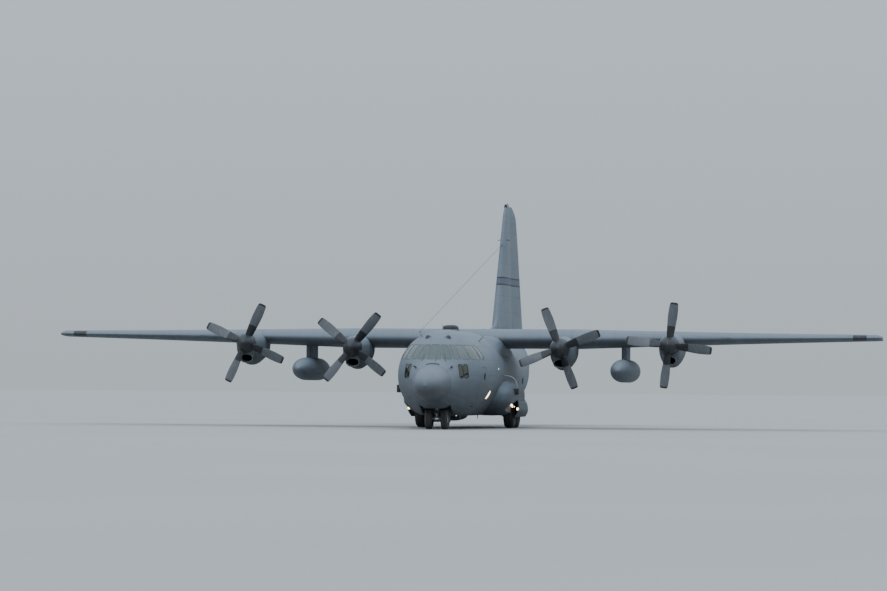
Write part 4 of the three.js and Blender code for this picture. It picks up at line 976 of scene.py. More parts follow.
def foil_outline(chord, ratio, camber, grow=0):
    """Points (aft, up) round a section from its trailing edge over the top."""
    wide = chord + 2 * grow
    thick = (ratio * chord + 2 * grow) / wide
    way = [(1, 0), *[(f, 1) for f in FRACTIONS[::-1]], (0, 0), *[(f, -1) for f in FRACTIONS]]
    return [(f * wide - grow, (4 * camber * f * (1 - f) + side * foil_half_height(f, thick)) * wide)
            for f, side in way]


def tip_share(x, stations):
    """How much of its chord a rounded tip keeps."""
    return 1 - (1 - TIP_ROUND) * max(0, (abs(x) - stations[-2]) / (stations[-1] - stations[-2])) ** 2


def wing_at(x):
    """The wing's chord, front edge, height and thickness ratio."""
    t = max(0, (abs(x) - WING["break_x"]) / (SPAN / 2 - WING["break_x"]))
    chord = mix(WING["root_chord"], WING["tip_chord"], t)
    y = WING["root_y"] + (WING["root_chord"] - chord) / 4
    return chord, y, mix(WING["root_z"], WING["tip_z"], t), mix(WING["root_ratio"], WING["tip_ratio"], t)


def wing_point(x, aft, up):
    """A point from its place behind the wing's front edge and above the chord line."""
    _, y, z, _ = wing_at(x)
    turn = math.radians(-WING["incidence"])
    return (x, y + aft * math.cos(turn) - up * math.sin(turn), z + aft * math.sin(turn) + up * math.cos(turn))


def wing_ring(x, grow=0):
    chord, _, _, ratio = wing_at(x)
    tip = tip_share(x, WING_STATIONS)
    outline = foil_outline(chord * tip, ratio * tip, WING["camber"], grow)
    return [wing_point(x, aft + chord * (1 - tip) / 2, up) for aft, up in outline]


def wing_hinge(x, fraction):
    """The centre and radius of a hinge line's round front at a share of the chord."""
    chord, _, _, ratio = wing_at(x)
    up = 4 * WING["camber"] * fraction * (1 - fraction) * chord
    return wing_point(x, fraction * chord, up), foil_half_height(fraction, ratio) * chord


def hinged_space(rows, up=(0, 0, 1), extra=0):
    """The space aft of a hinge line, with a round front. A row is the hinge's centre and radius."""
    rings = []
    for centre, radius in rows:
        r = radius * (1.05 if extra else 1) + extra
        angles = [math.radians(mix(LIP_ANGLE, 360 - LIP_ANGLE, i / 14)) for i in range(15)]
        points = [(math.cos(angle) * r, math.sin(angle) * r) for angle in angles]
        points += [(FAR / 6, -r - FAR / 12), (FAR / 6, r + FAR / 12)]
        rings.append([(centre[0] + up[0] * v, centre[1] + a, centre[2] + up[2] * v) for a, v in points])
    return loft(rings)


def hinged_part(host, rows, up=(0, 0, 1)):
    """What a solid has aft of a hinge line, with a pin at each end."""
    a, b = (Vector(centre) for centre, _ in rows)
    along = (b - a).normalized()
    ends = (a, along * -1), (b, along)
    pins = [rod(end - way * 60, end + way * (CLEAR - 3), 20, 12) for end, way in ends]
    return joined(shared(host, hinged_space(rows, up)), *pins)


def wing_loft(start, end, grow=0):
    middle = (9000, 12500, 16000, 19900, 20000, 20080, 20140, 20180) if end > WING["break_x"] + 10 else ()
    return loft([wing_ring(x, grow) for x in [start, *[x for x in middle if start < x < end], end]])


def grown_wing():
    """The wing with some play, to cut out of what it runs through."""
    panel = loft([wing_ring(x, 2 * GAP) for x in WING_STATIONS[:3]])
    middle = loft([wing_ring(x, 2 * GAP) for x in (-WING["break_x"], WING["break_x"])])
    return joined(middle, panel, mirrored(panel))


def make_wing():
    centre = wing_loft(-WING["break_x"] + GAP / 2, WING["break_x"] - GAP / 2)
    panel = wing_loft(WING["break_x"] + GAP / 2, WING_STATIONS[-1])
    centre_cuts, panel_cuts = [], []
    for name, inner, outer, fraction in WING_SURFACES:
        space = hinged_space([wing_hinge(x, fraction) for x in (inner - CLEAR, outer + CLEAR)], extra=CLEAR)
        rows = [wing_hinge(x, fraction) for x in (inner, outer)]
        if inner < WING["break_x"]:
            centre_cuts += [space, mirrored(space)]
            surface = hinged_part(centre, rows)
        else:
            panel_cuts.append(space)
            surface = hinged_part(panel, rows)
        cover_pair(name + "_{}", surface, "wing", name + "_{}")
    cover("wing_centre", cut(centre, *centre_cuts), "wing")
    cover_pair("wing_{}", cut(panel, *panel_cuts), "wing")


def edges(surface, t):
    """The front and rear edge of the fin or the tailplane at a share of its reach."""
    return mix(surface["root_le"], surface["tip_le"], t), mix(surface["root_te"], surface["tip_te"], t)


def fin_at(z):
    return edges(FIN, (z - FIN["root_z"]) / (FIN["tip_z"] - FIN["root_z"]))


def fin_ring(z):
    le, te = fin_at(z)
    _, front_in, rear_in = smooth_rows(FIN_TIP, [z])[0]
    outline = foil_outline(te - rear_in - le - front_in, FIN["ratio"], 0)
    return [(across, le + front_in + aft, z) for aft, across in outline]


def rudder_rows(margin):
    rows = []
    for z in (RUDDER["z"][0] - margin, RUDDER["z"][1] + margin):
        le, te = fin_at(z)
        radius = foil_half_height((RUDDER["hinge_y"] - le) / (te - le), FIN["ratio"]) * (te - le)
        rows.append(((0, RUDDER["hinge_y"], z), radius))
    return rows


def rudder_turn():
    """The turn of the rudder in the photograph."""
    hinge = at(0, RUDDER["hinge_y"], 0)
    turn = Matrix.Rotation(math.radians(-RUDDER["deflection"]), 4, "Z")
    return Matrix.Translation(hinge) @ turn @ Matrix.Translation(-hinge)


def tailplane_ring(x, grow=0):
    le, te = edges(TAILPLANE, abs(x) / TAILPLANE["half"])
    tip, full = tip_share(x, TAIL_STATIONS), te - le
    outline = foil_outline(full * tip, TAILPLANE["ratio"] * tip, 0, grow)
    return [(x, le + full * (1 - tip) / 2 + aft, TAILPLANE["z"] + up) for aft, up in outline]


def tailplane_loft(half, grow=0):
    return loft([tailplane_ring(x, grow) for x in [*[-x for x in half[:0:-1]], *half]])


def grown_tail():
    return tailplane_loft(TAIL_STATIONS, 2 * GAP)


def elevator_hinge(x):
    le, te = edges(TAILPLANE, abs(x) / TAILPLANE["half"])
    inner, outer = ELEVATOR["x"]
    y = mix(ELEVATOR["root_y"], ELEVATOR["tip_y"], (abs(x) - inner) / (outer - inner))
    return (x, y, TAILPLANE["z"]), foil_half_height((y - le) / (te - le), TAILPLANE["ratio"]) * (te - le)


def dorsal_ring(y, top):
    """A rounded ridge ahead of the fin."""
    low, half = FIN["root_z"], DORSAL_HALF_WIDTH
    arc = [(half * math.cos(t), y, low + (top - low) * math.sin(t) ** 0.7)
           for t in (math.pi * i / 10 for i in range(1, 10))]
    return [(half, y, low), *arc, (-half, y, low)]


def make_tail():
    whole = tailplane_loft([0, 4000, 7750, 7840, 7910, 7970, 8010, 8025])
    spaces = []
    for side, label in SIDES:
        elevator = hinged_part(whole, [elevator_hinge(x * side) for x in ELEVATOR["x"]])
        cover(f"elevator_{label}", elevator, "wing", f"elevator_{label}")
        wide = [elevator_hinge((x + way * CLEAR) * side) for x, way in zip(ELEVATOR["x"], (-1, 1))]
        spaces.append(hinged_space(wide, extra=CLEAR))
    inner = ELEVATOR["x"][0] + 20
    middle = box((-inner, ELEVATOR["root_y"] - 130, 0), (inner, FAR, FAR))
    cover("tailplane", largest_piece(cut(whole, *spaces, middle)), "wing")

    heights = (4500, 5500, 7000, 9400, 10200, 10600, 10900, 11100, 11250, 11340, 11420, 11500, 11560, 11600,
               11630, 11650, 11660)
    fin = loft([fin_ring(z) for z in heights])
    rudder = hinged_part(fin, rudder_rows(0), (1, 0, 0))
    dorsal = loft([dorsal_ring(*row) for row in smooth_rows(DORSAL, range(17600, 24001, 200))])
    below = box((-1000, RUDDER["hinge_y"] - 260, 0), (1000, FAR, RUDDER["z"][0] + 1))
    fixed = cut(joined(fin, dorsal), hinged_space(rudder_rows(CLEAR), (1, 0, 0), CLEAR), below, grown_tail(),
                body_loft(CENTRE_END - 50, LENGTH, -GAP))
    cover("fin", largest_piece(fixed), "fin")
    cover("rudder", moved(rudder, rudder_turn()), "fin", "rudder")


# Sponsons

def sponson_ring(row):
    """A sponson's section, drawn in to a round cap at its two ends."""
    y, outer, top, bottom = row
    from_end = min(y - SPONSON[0][0], SPONSON[-1][0] - y)
    share = math.sqrt(1 - max(0, 1 - (from_end + 1) / SPONSON_CAP) ** 2)
    wide = (outer - SPONSON_CENTRE_X) * share
    middle, high = (top + bottom) / 2, (top - bottom) / 2 * share
    power = 2 / SPONSON_CORNER
    return [(SPONSON_CENTRE_X + wide * bent(c, power), y, middle + high * bent(s, power))
            for c, s in circle(64)]


def make_sponsons():
    places = [9100, 9106, 9122, 9150, 9190, 9240, *range(9300, 11501, 100), 12500, 13300,
              *range(14100, 16801, 100), 16860, 16910, 16955, 16990, 17018, 17034, 17040]
    wall, roof, (front, back) = WELL["x"][1], WELL["top"], WELL["y"]
    well_section = [(0, -FAR), (wall, -FAR), (wall, WELL["corner"][1]), (WELL["corner"][0], roof), (0, roof)]
    sponson = cut(
        loft([sponson_ring(row) for row in smooth_rows(SPONSON, places)]), body_loft(9000, 17500, -GAP),
        prism("y", well_section, front, back), box((0, front, -FAR), (FAR, back, WELL["side_top"])),
        shared(prism("z", LAMP_RECESS["plan"], 0, 1500), prism("x", LAMP_RECESS["side"], 2000, 3000)))
    section = smooth_rows(GEAR_DOOR_SECTION, range(530, 1386, 45))
    rings = []
    for share in (0, 0.5, 1):
        y = mix(*GEAR_DOOR["y"], share)
        outside = [(mix(fore, aft, share), y, z) for z, fore, aft in section]
        rings.append(outside + [(x - GEAR_DOOR["thickness"], y, z) for x, _, z in outside[::-1]])
    cover_pair("sponson_{}", joined(largest_piece(sponson), loft(rings)))


# Engines, propellers and tanks

def nacelle_ring(row, x, hub, inset=0):
    y, half_width, top, bottom = row
    ring = []
    for c, s in circle(64):
        power, reach = (1, top - inset) if s >= 0 else (0.85, bottom - inset)
        ring.append((x + (half_width - inset) * bent(c, power), y, hub + reach * bent(s, power)))
    return ring


def make_nacelle(name, x, hub):
    rows = [list(row) for row in smooth_rows(NACELLE, [9360, 9375, 9400, 9440, 9500, 9550, 9700,
                                                       *range(9900, 13901, 200)])]
    for row, shrink in zip(rows, (26, 13, 5, 1)):
        row[1:] = [value - shrink for value in row[1:]]
    cavity = loft([nacelle_ring(row, x, hub, NACELLE_WALL)
                   for row in smooth_rows(NACELLE, [9430, *range(9600, 13001, 200)])])
    mouth = loft([oval(x, y, hub - INTAKE["drop"], INTAKE["half_width"], INTAKE["half_height"])
                  for y in (9300, NACELLE[0][0] + INTAKE["depth"] / 2)])
    nacelle = cut(loft([nacelle_ring(row, x, hub) for row in rows]), cavity, mouth,
                  rod((x, 9100, hub), (x, 9560, hub), 92, 32), grown_wing())
    cover(f"nacelle_{name}", largest_piece(nacelle), "nacelle_outer" if "outer" in name else "nacelle_inner")


def blade_ring(row):
    radius, chord, thickness, pitch = row
    turn = math.radians(pitch)
    ring = []
    for c, s in circle(28):
        across, through = c * chord / 2, bent(s, 1.3) * thickness / 2
        ring.append((across * math.cos(turn) - through * math.sin(turn),
                     across * math.sin(turn) + through * math.cos(turn), radius))
    return ring


def make_propeller(name, x, hub, angle):
    radii = [300, 400, 500, 600, 700, 800, 900, 1050, 1200, 1400, 1600, 1800, 1950, 2010, 2040, 2055]
    rows = [list(row) for row in smooth_rows(BLADE, radii)]
    for row, share in zip(rows[-4:], (0.98, 0.9, 0.78, 0.55)):
        row[1:3] = [row[1] * share, row[2] * share]
    blade = loft([blade_ring(row) for row in rows])
    nose = smooth_rows([(-570, 0), (-525, 120), (-375, 270), (-170, 390), (0, 440)],
                       [-568, -560, -545, -525, -480, -430, -375, -300, -230, -170, -90, 0])
    profile = [(0, -570), *[(r, d) for d, r in nose], (440, 60), (434, 62), (434, 70), (440, 72), (440, 212),
               (0, 212)]
    place = Matrix.Translation(at(x, PROP_Y, hub)) @ Matrix.Rotation(math.radians(angle), 4, "Y")
    blades = [moved(blade, place @ Matrix.Rotation(math.radians(90 * i), 4, "Y") @ HOME) for i in range(4)]
    body = f"propeller_{name}"
    show(f"blades_{name}", combined(blades), "blade", body, crease=50)
    show(f"spinner_{name}", moved(turned(profile, 64, "y"), place @ HOME), "spinner", body, node=body)


def make_tanks():
    front_tip, rear_tip = TANK_PROFILE[0][0], TANK_PROFILE[-1][0]
    places = [front_tip, 9610, 9630, 9660, 9710, 9800, 9900, 10050, 10200, *range(10400, 11751, 270),
              13300, *range(14850, 17301, 245), 17400, 17480, 17550, 17590, rear_tip]
    profile = [(0 if y in (front_tip, rear_tip) else r, y) for y, r in smooth_rows(TANK_PROFILE, places)]
    tank = turned(profile, 64, "y", (TANK["x"], 0, TANK["z"]))
    (front, back), half, (nose, tail), top = PYLON.values()
    turns = [math.radians(a) for a in range(0, 91, 15)]
    plan = [(front + nose * (1 - math.cos(t)), half * math.sin(t)) for t in turns]
    plan += [(back - tail, half), (back - tail * 0.4, half * 0.62), (back, 0)]
    outline = [(TANK["x"] + x, y) for y, x in plan] + [(TANK["x"] - x, y) for y, x in plan[-2:0:-1]]
    solid = cut(joined(tank, prism("z", outline, TANK["z"], top)), grown_wing())
    cover_pair("tank_{}", largest_piece(solid), "tank")


# Wheels

def tyre(wheel, grooves, centre):
    """A tyre with grooves round its tread."""
    radius, half, rim = wheel["radius"], wheel["width"] / 2, wheel["rim"]
    wall = ((0.25, 0.93), (0.5, 1), (0.7, 0.97), (0.86, 0.86), (0.95, 0.68))
    shoulder = [(rim, half * 0.72), (rim + 12, half * 0.8),
                *[(mix(rim, radius, up), half * out) for up, out in wall], (radius - 4, half * 0.5)]
    tread = [(radius - deep, place * half + off) for place in grooves for deep, off in
             ((0, 7), (12, 5), (12, -5), (0, -7))]
    return turned([*shoulder, *tread, *[(r, -d) for r, d in shoulder[::-1]], shoulder[0]], 96, "x", centre)


def main_hub(side, y):
    """A main wheel's hub with its holes and bolts."""
    rim, bore, z = MAIN_WHEEL["rim"] - GAP, MAIN_WHEEL["axle"] + 1, MAIN_WHEEL["radius"]
    half = MAIN_WHEEL["width"] * HUB_SHARE
    profile = [(bore, -half + 40), (rim - 8, -half), (rim, -half + 8), (rim, half - 8), (rim - 8, half),
               (rim - 26, half), (rim - 34, half - 14), (rim - 52, half - 82), (rim - 70, half - 90),
               (150, half - 72), (132, half - 66), (118, half - 20), (110, half - 10), (bore, half - 10),
               (bore, -half + 40)]
    hub = turned(profile, 64, "x", (TRACK / 2, y, z))
    face = TRACK / 2 + half - 84
    holes, bolts = [], []
    for i in range(HUB_HOLES):
        angle = 2 * math.pi * i / HUB_HOLES
        for found, radius, turn, start, end, size, points in (
                (holes, 195, 0, -40, 60, 26, 20), (bolts, 225, math.pi / HUB_HOLES, -15, 14, 13, 6)):
            spot = (y + radius * math.cos(angle + turn), z + radius * math.sin(angle + turn))
            found.append(rod((face + start, *spot), (face + end, *spot), size, points))
    return turned_over(combined([cut(hub, *holes), *bolts]), side)


def nose_hubs():
    rim, half, z = NOSE_WHEEL["rim"] - GAP, NOSE_WHEEL["width"] * HUB_SHARE, NOSE_WHEEL["radius"]
    inner, outer = NOSE_WHEEL["x"] - half, NOSE_WHEEL["x"] + half
    side = [(NOSE_WHEEL["axle"], inner + 20), (rim - 6, inner), (rim, inner + 6), (rim, outer - 6),
            (rim - 6, outer), (rim - 18, outer), (rim - 26, outer - 12), (rim - 44, outer - 54),
            (rim - 58, outer - 60), (92, outer - 44), (80, outer - 38), (72, outer - 6), (66, outer),
            (0, outer)]
    hubs = turned([(r, -d) for r, d in side[::-1]] + side, 64, "x", (0, NOSE_AXLE_Y, z))
    holes = []
    for c, s in circle(8):
        for sign in (1, -1):
            ends = sorted((sign * (outer - 80), sign * (outer + 10)))
            holes.append(rod(*[(x, NOSE_AXLE_Y + 128 * c, z + 128 * s) for x in ends], 16, 16))
    return cut(hubs, *holes)


def make_wheels():
    for side, label in SIDES:
        for row, y in zip(("front", "rear"), MAIN_AXLES_Y):
            spot, body = f"{row}_{label}", f"main_wheel_{row}_{label}"
            rubber = tyre(MAIN_WHEEL, (0.36, 0.12, -0.12, -0.36), (side * TRACK / 2, y, MAIN_WHEEL["radius"]))
            show(f"main_tyre_{spot}_rubber", rubber, "tyre", body, node=f"main_tyre_{spot}")
            show(f"main_hub_{spot}_metal", main_hub(side, y), "wheel", body, node=f"main_hub_{spot}")
    for side, label in SIDES:
        rubber = tyre(NOSE_WHEEL, (0.3, 0, -0.3), (side * NOSE_WHEEL["x"], NOSE_AXLE_Y, NOSE_WHEEL["radius"]))
        show(f"nose_tyre_{label}_rubber", rubber, "tyre", "nose_wheels", node=f"nose_tyre_{label}")
    show("nose_hubs_metal", nose_hubs(), "wheel", "nose_wheels", node="nose_hubs")


# Details on the skin, the wings and the gear

def skin_spot(y, angle, out=0):
    """A place on the fuselage's skin and the way straight out of it."""
    here, aft, up = (Vector(body_surface(*spot)) for spot in ((y, angle), (y + 40, angle), (y, angle + 1)))
    away = (aft - here).cross(up - here).normalized()
    return here + away * out, away


def on_skin(mesh, y, angle, out=0):
    return stood(mesh, *skin_spot(y, angle, out))


def skin_patch(start, end, angles, out=6, depth=12):
    """A thin plate that lies on the fuselage between two places along it and two angles."""
    steps = max(3, math.ceil(abs(angles[1] - angles[0]) / 3))
    spots = [mix(*angles, i / steps) for i in range(steps + 1)]
    count = max(1, math.ceil((end - start) / 150))
    way = [(a, out) for a in spots] + [(a, out - depth) for a in spots[::-1]]
    return loft([[body_surface(mix(start, end, i / count), *spot) for spot in way] for i in range(count + 1)])


def skin_band(ends, out, inset):
    """A shell round the fuselage, from out beyond its skin to inset below it, cut by a longer core."""
    return cut(body_loft(*ends[0], -out), body_loft(*ends[1], inset))


def blade_antenna(height, root, tip, sweep, thickness=0.16):
    rows = [(-40, root, 0), (0, root, 0), (height * 0.55, mix(root, tip, 0.55), sweep * 0.55),
            (height * 0.92, tip, sweep * 0.92), (height, tip * 0.7, sweep + tip * 0.15)]
    return loft([[(across, shift + aft, z) for aft, across in foil_outline(chord, thickness, 0)]
                 for z, chord, shift in rows])


def lamp(name, place, radius, glow="lamp", depth=90):
    """A round lamp that shines ahead: its housing and its lit lens."""
    case = turned([(0, -depth), (radius * 0.55, -depth), (radius + 8, -depth * 0.25), (radius + 10, 8),
                   (radius - 4, 8), (radius - 6, -10), (0, -10)], 32, "z")
    show(name + "_case", stood(case, place, (0, -1, 0)), "strut")
    show(name + "_lens", stood(dome(radius - 7, radius * 0.3, sunk=9, points=32), place, (0, -1, 0)), glow)


def make_antennas():
    masts = [on_skin(blade_antenna(*row[2:]), *row[:2]) for row in ANTENNAS]
    show("blade_antennas", combined(masts), "antenna", crease=50)
    pad = turned([(0, 30), (395, 26), (440, 8), (446, -30), (0, -30)], 48, "z")
    show("roof_dome_base", on_skin(pad, 7550, 90), "body")
    show("roof_dome", on_skin(dome(395, 235, 0.62), 7550, 90, 8), "black")
    for side, label in SIDES:
        angle = 90 - side * 16.5
        ring = turned([(146, -40), (150, 16), (130, 26), (112, 18), (112, -40), (146, -40)], 40, "z")
        show(f"sensor_ring_{label}", on_skin(ring, 3760, angle), "body")
        show(f"sensor_dome_{label}", on_skin(dome(114, 112), 3760, angle, 6), "sensor")
        # An air data probe on a swept mast beside the radome
        place, out = skin_spot(2400, 90 - side * 50)
        mast = stood(blade_antenna(120, 190, 120, -70, 0.35), place, out)
        tip = place + out * 112 + Vector((0, -50, 0))
        tube = rod(tip + Vector((0, -60, 0)), tip + Vector((0, -240, 0)), 26, 16, 14)
        cap = rod(tip + Vector((0, 70, 0)), tip + Vector((0, -62, 0)), 34, 16)
        show(f"probe_{label}", combined([mast, tube, cap]), "dark")
    # Painted shade: a black strip on the skin above the radome stands in for the dark of a slot
    show("nose_slot_shade", skin_patch(2085, 2200, (70, 110), 7), "black")
    show("radome_seal", skin_band(((2038, 2064), (2020, 2080)), 4, 20), "seal")


def nose_point(x, z, out=0):
    """The place on the nose's skin at an x and a height, seen from ahead."""
    low, high = RADOME_END, 6000
    for _ in range(24):
        middle = (low + high) / 2
        _, half_width, top, waist, bottom, *_ = body_at(middle)
        reach = (top if z > waist else 2 * waist - bottom) - waist
        inside = (x / half_width) ** 2 + ((z - waist) / reach) ** 2 < 1
        low, high = (low, middle) if inside else (middle, high)
    return Vector((x, low - out, z))


def make_window_details():
    ends = (RADOME_END + 100, NOSE_END - 50), (RADOME_END + 50, NOSE_END - 20)
    proud, sunk = skin_band(ends, 4, 20), skin_band(ends, -7, 27)
    for name, row, margin, finish, glass in (("windscreen", UPPER, 18, "frame", "glass"),
                                             ("lower_window", LOWER, 34, "black", "side_glass")):
        openings = zip(pane_cutters(row, margin), pane_cutters(row))
        rims = [cut(shared(proud, wide), exact) for wide, exact in openings]
        show(name + "_frames", combined(rims), finish, slot="skin")
        show(name + "_panes", combined([shared(sunk, cutter) for cutter in pane_cutters(row, -3)]), glass)
    wipers = []
    for foot_x, tip_x in ((90, 150), (-560, -470), (560, 470)):
        foot, tip = nose_point(foot_x, 3180, 20), nose_point(tip_x, 3500, 16)
        wipers += [pipe([foot, foot.lerp(tip, 0.5) + Vector((0, -6, 0)), tip], 5, 8),
                   rod(foot + Vector((0, 30, -6)), foot + Vector((0, -12, 0)), 18, 16)]
    show("wipers", combined(wipers), "seal", slot="strut_metal")
    for name, body, (y, z, _), side in (("crew_door", "crew_door", CREW_PORTHOLE, 1),
                                        ("para_door_left", "airframe", PARA_PORTHOLE, 1),
                                        ("para_door_right", "airframe", PARA_PORTHOLE, -1)):
        x = side_x(y, z) * side
        rim = turned([(134, -20), (166, -20), (166, 9), (158, 12), (138, 10), (134, -20)], 40, "x")
        rim = moved(turned_over(rim, side), Matrix.Translation(at(x, y, z)) @ HOME)
        show(f"{name}_pane", rod((x - side * 55, y, z), (x - side * 30, y, z), 152, 32), "glass", body)
        show(f"{name}_rim", rim, "black", body)


def make_sensor_boxes():
    """Black boxes with round eyes on the right of the nose and the left sponson, and a light grey conduit
    that paints a highlight.
    """
    for label, low, high, eye, depth, radius, end in (
            ("right", (-2285, 5850, 1690), (-2010, 6170, 2060), (-2180, 1875), 35, 84, 74),
            ("left", (2590, 10640, 1620), (2860, 10930, 1915), (2740, 1768), 38, 92, 80)):
        front = low[1]
        barrel = rod((eye[0], front, eye[1]), (eye[0], front - depth, eye[1]), radius, 32, end)
        show(f"side_sensor_{label}", combined([soft_box(low, high, 18), barrel]), "black")
    # Painted highlight: the conduit's light grey stands in for the bright top edge of the sponson
    route = arc_route((2130, 10760, 2540), (2790, 10760, 2560), (2790, 10780, 1900), 16)
    show("sensor_conduit_highlight", pipe(route, 24, 12), "highlight_grey")


def oblong(radius, height, wide, long, lean, place, out=(0, -1, 0)):
    """A cap that is stretched along the surface and leans about the way out of it."""
    cap = dome(radius, height, sunk=30)
    cap.transform(Matrix.Translation(at(0, 0, 0)) @ Matrix.Diagonal((wide, long, 1, 1)) @ HOME)
    turn = Matrix.Rotation(math.radians(lean), 4, Vector(out).normalized())
    there, back = (Matrix.Translation(way * at(*place)) for way in (1, -1))
    return moved(stood(cap, place, out), there @ turn @ back)


def make_lamps():
    for side, label in SIDES:
        lamp(f"taxi_lamp_{label}", (side * 2672, 11785, 930), 64)
        lamp(f"small_lamp_{label}", (side * 2526, 11745, 1031), 22)
        case = oblong(80, 40, 0.75, 1.85, side * 28, (side * 2396, 11712, 1112))
        lens = oblong(70, 30, 0.62, 1.8, side * 28, (side * 2396, 11680, 1112))
        show(f"landing_lamp_case_{label}", case, "dark")
        show(f"landing_lamp_{label}", lens, "lamp")
        x, y, z = wing_point(20120, 560, 30)
        tip_light = stood(dome(62, 84, sunk=60), (side * (x - 4), y, z), (side, -0.25, 0))
        show(f"tip_light_{label}", tip_light, "red_lamp" if side > 0 else "green_lamp")
    # Painted reflection: a glowing oblong on the fuselage's side stands in for light reflected by the skin
    place, out = skin_spot(6560, side_angle(6560, 1600), 2)
    glow = [oblong(100 - 24 * i, 20 + 6 * i, 0.5, 2.4 + 1.2 * i, 47, place, out) for i in range(3)]
    show("side_reflection_glow", joined(*glow), "lamp")
    for name, y, angle, cap, finish in (("side_light", 8850, side_angle(8850, 2850), (34, 20), "white_lamp"),
                                        ("belly_light", 5900, 285, (34, 20), "white_lamp"),
                                        ("beacon", 16950, 90, (70, 105, 0.8), "red_glass")):
        show(name, on_skin(dome(*cap), y, angle), finish)
    # A fairing under the belly; its very dark finish is partly painted shade
    pod = loft([oval(0, y, 640, 640 * share, 280 * share, 48) for y, share in
                ((7300, 0.3), (7350, 0.5), (7480, 0.74), (7700, 0.9), (8000, 0.98), (8300, 1), (8900, 1),
                 (9200, 0.97), (9500, 0.86), (9750, 0.66), (9880, 0.4))])
    show("belly_fairing_painted_shade", pod, "sensor")


def make_fin_details():
    show("fin_tip_cap", stood(dome(75, 130, 0.8, sunk=110), (0, 26440, 11450)), "black")
    stubs = [rod((side * 40, 25600, 9690), (side * 320, 25880, 9660), 22, 12, 14) for side in (1, -1)]
    show("fin_stubs", combined(stubs), "dark")
    # A taut wire from an antenna's mast on the roof to the fin
    mast, out = skin_spot(*ANTENNAS[1][:2])
    start, end = mast + out * 280 + Vector((0, 150, 0)), Vector((0, 25215, 9420))
    show("wire_antenna", pipe([start, start.lerp(end, 0.5), end], 9, 6), "dark")
    insulators = [rod(a, a.lerp(b, 0.012), 26, 12) for a, b in ((start, end), (end, start))]
    show("wire_insulators", combined(insulators), "seal")


def make_wing_details():
    shell = cut(wing_loft(18830, 19480, 5), wing_loft(18800, 19510, -6), box((0, 12045, 0), (FAR, FAR, FAR)))
    for side, label in SIDES:
        show(f"edge_panel_{label}", turned_over(shell, side).copy(), "edge")
        for body, stations in ((f"aileron_{label}", (13200, 14600, 16000, 17400, 18700)),
                               ("airframe", (19500, 19750))):
            rods = wicks([[wing_point(x, wing_at(x)[0] + aft, 0) for aft in (-12, 170)] for x in stations])
            show(f"wicks_{body}_{label}", turned_over(rods, side), "black", body)


def wicks(ends):
    """Thin rods that trail from an edge, each from a start to an end."""
    return combined([rod(start, end, 6, 8, 3) for start, end in ends])


def wick_ends(x, y, z):
    return (x, y - 14, z), (x, y + 165, z)


def make_tail_wicks():
    for side, label in SIDES:
        rods = wicks([wick_ends(x * side, edges(TAILPLANE, x / TAILPLANE["half"])[1], TAILPLANE["z"])
                      for x in (3200, 4600, 6000, 7200)])
        show(f"elevator_wicks_{label}", rods, "black", f"elevator_{label}")
    rudder_wicks = wicks([wick_ends(0, fin_at(z)[1], z) for z in (5600, 7000, 8400, 9800)])
    show("rudder_wicks", moved(rudder_wicks, rudder_turn()), "black", "rudder")


def make_root_fairings():
    rings = []
    for y, share in smooth_rows(ROOT_FAIRING_GROWTH, [*range(10350, 11500, 115), *range(11500, 16201, 470)]):
        outside = [(mix(side_x(y, z) - 12, x, share), y, z) for x, z in ROOT_FAIRING]
        rings.append(outside + [(side_x(y, z) - 60, y, z) for _, z in ROOT_FAIRING[::-1]])
    show_pair("root_fairing_{}", loft(rings), "body", crease=50)


def make_nacelle_details(name, x, hub):
    lip = hoop(oval(x, 9352, hub - INTAKE["drop"], INTAKE["half_width"] + 14, INTAKE["half_height"] + 14, 48),
               (0, 1, 0), 24, 10)
    show(f"intake_lip_{name}", lip, "antenna", slot="strut_metal")
    exhaust = [(140, 13500), (158, 13700), (168, 13900), (172, 14120), (160, 14120), (156, 13900),
               (146, 13700), (130, 13520), (140, 13500)]
    show(f"exhaust_{name}", turned(exhaust, 48, "y", (x, 0, hub - 190)), "exhaust")
    collar = [(150, 9330), (430, 9330), (452, 9352), (452, 9366), (150, 9366), (150, 9330)]
    show(f"prop_collar_{name}", turned(collar, 64, "y", (x, 0, hub)), "dark", slot="engine_metal")


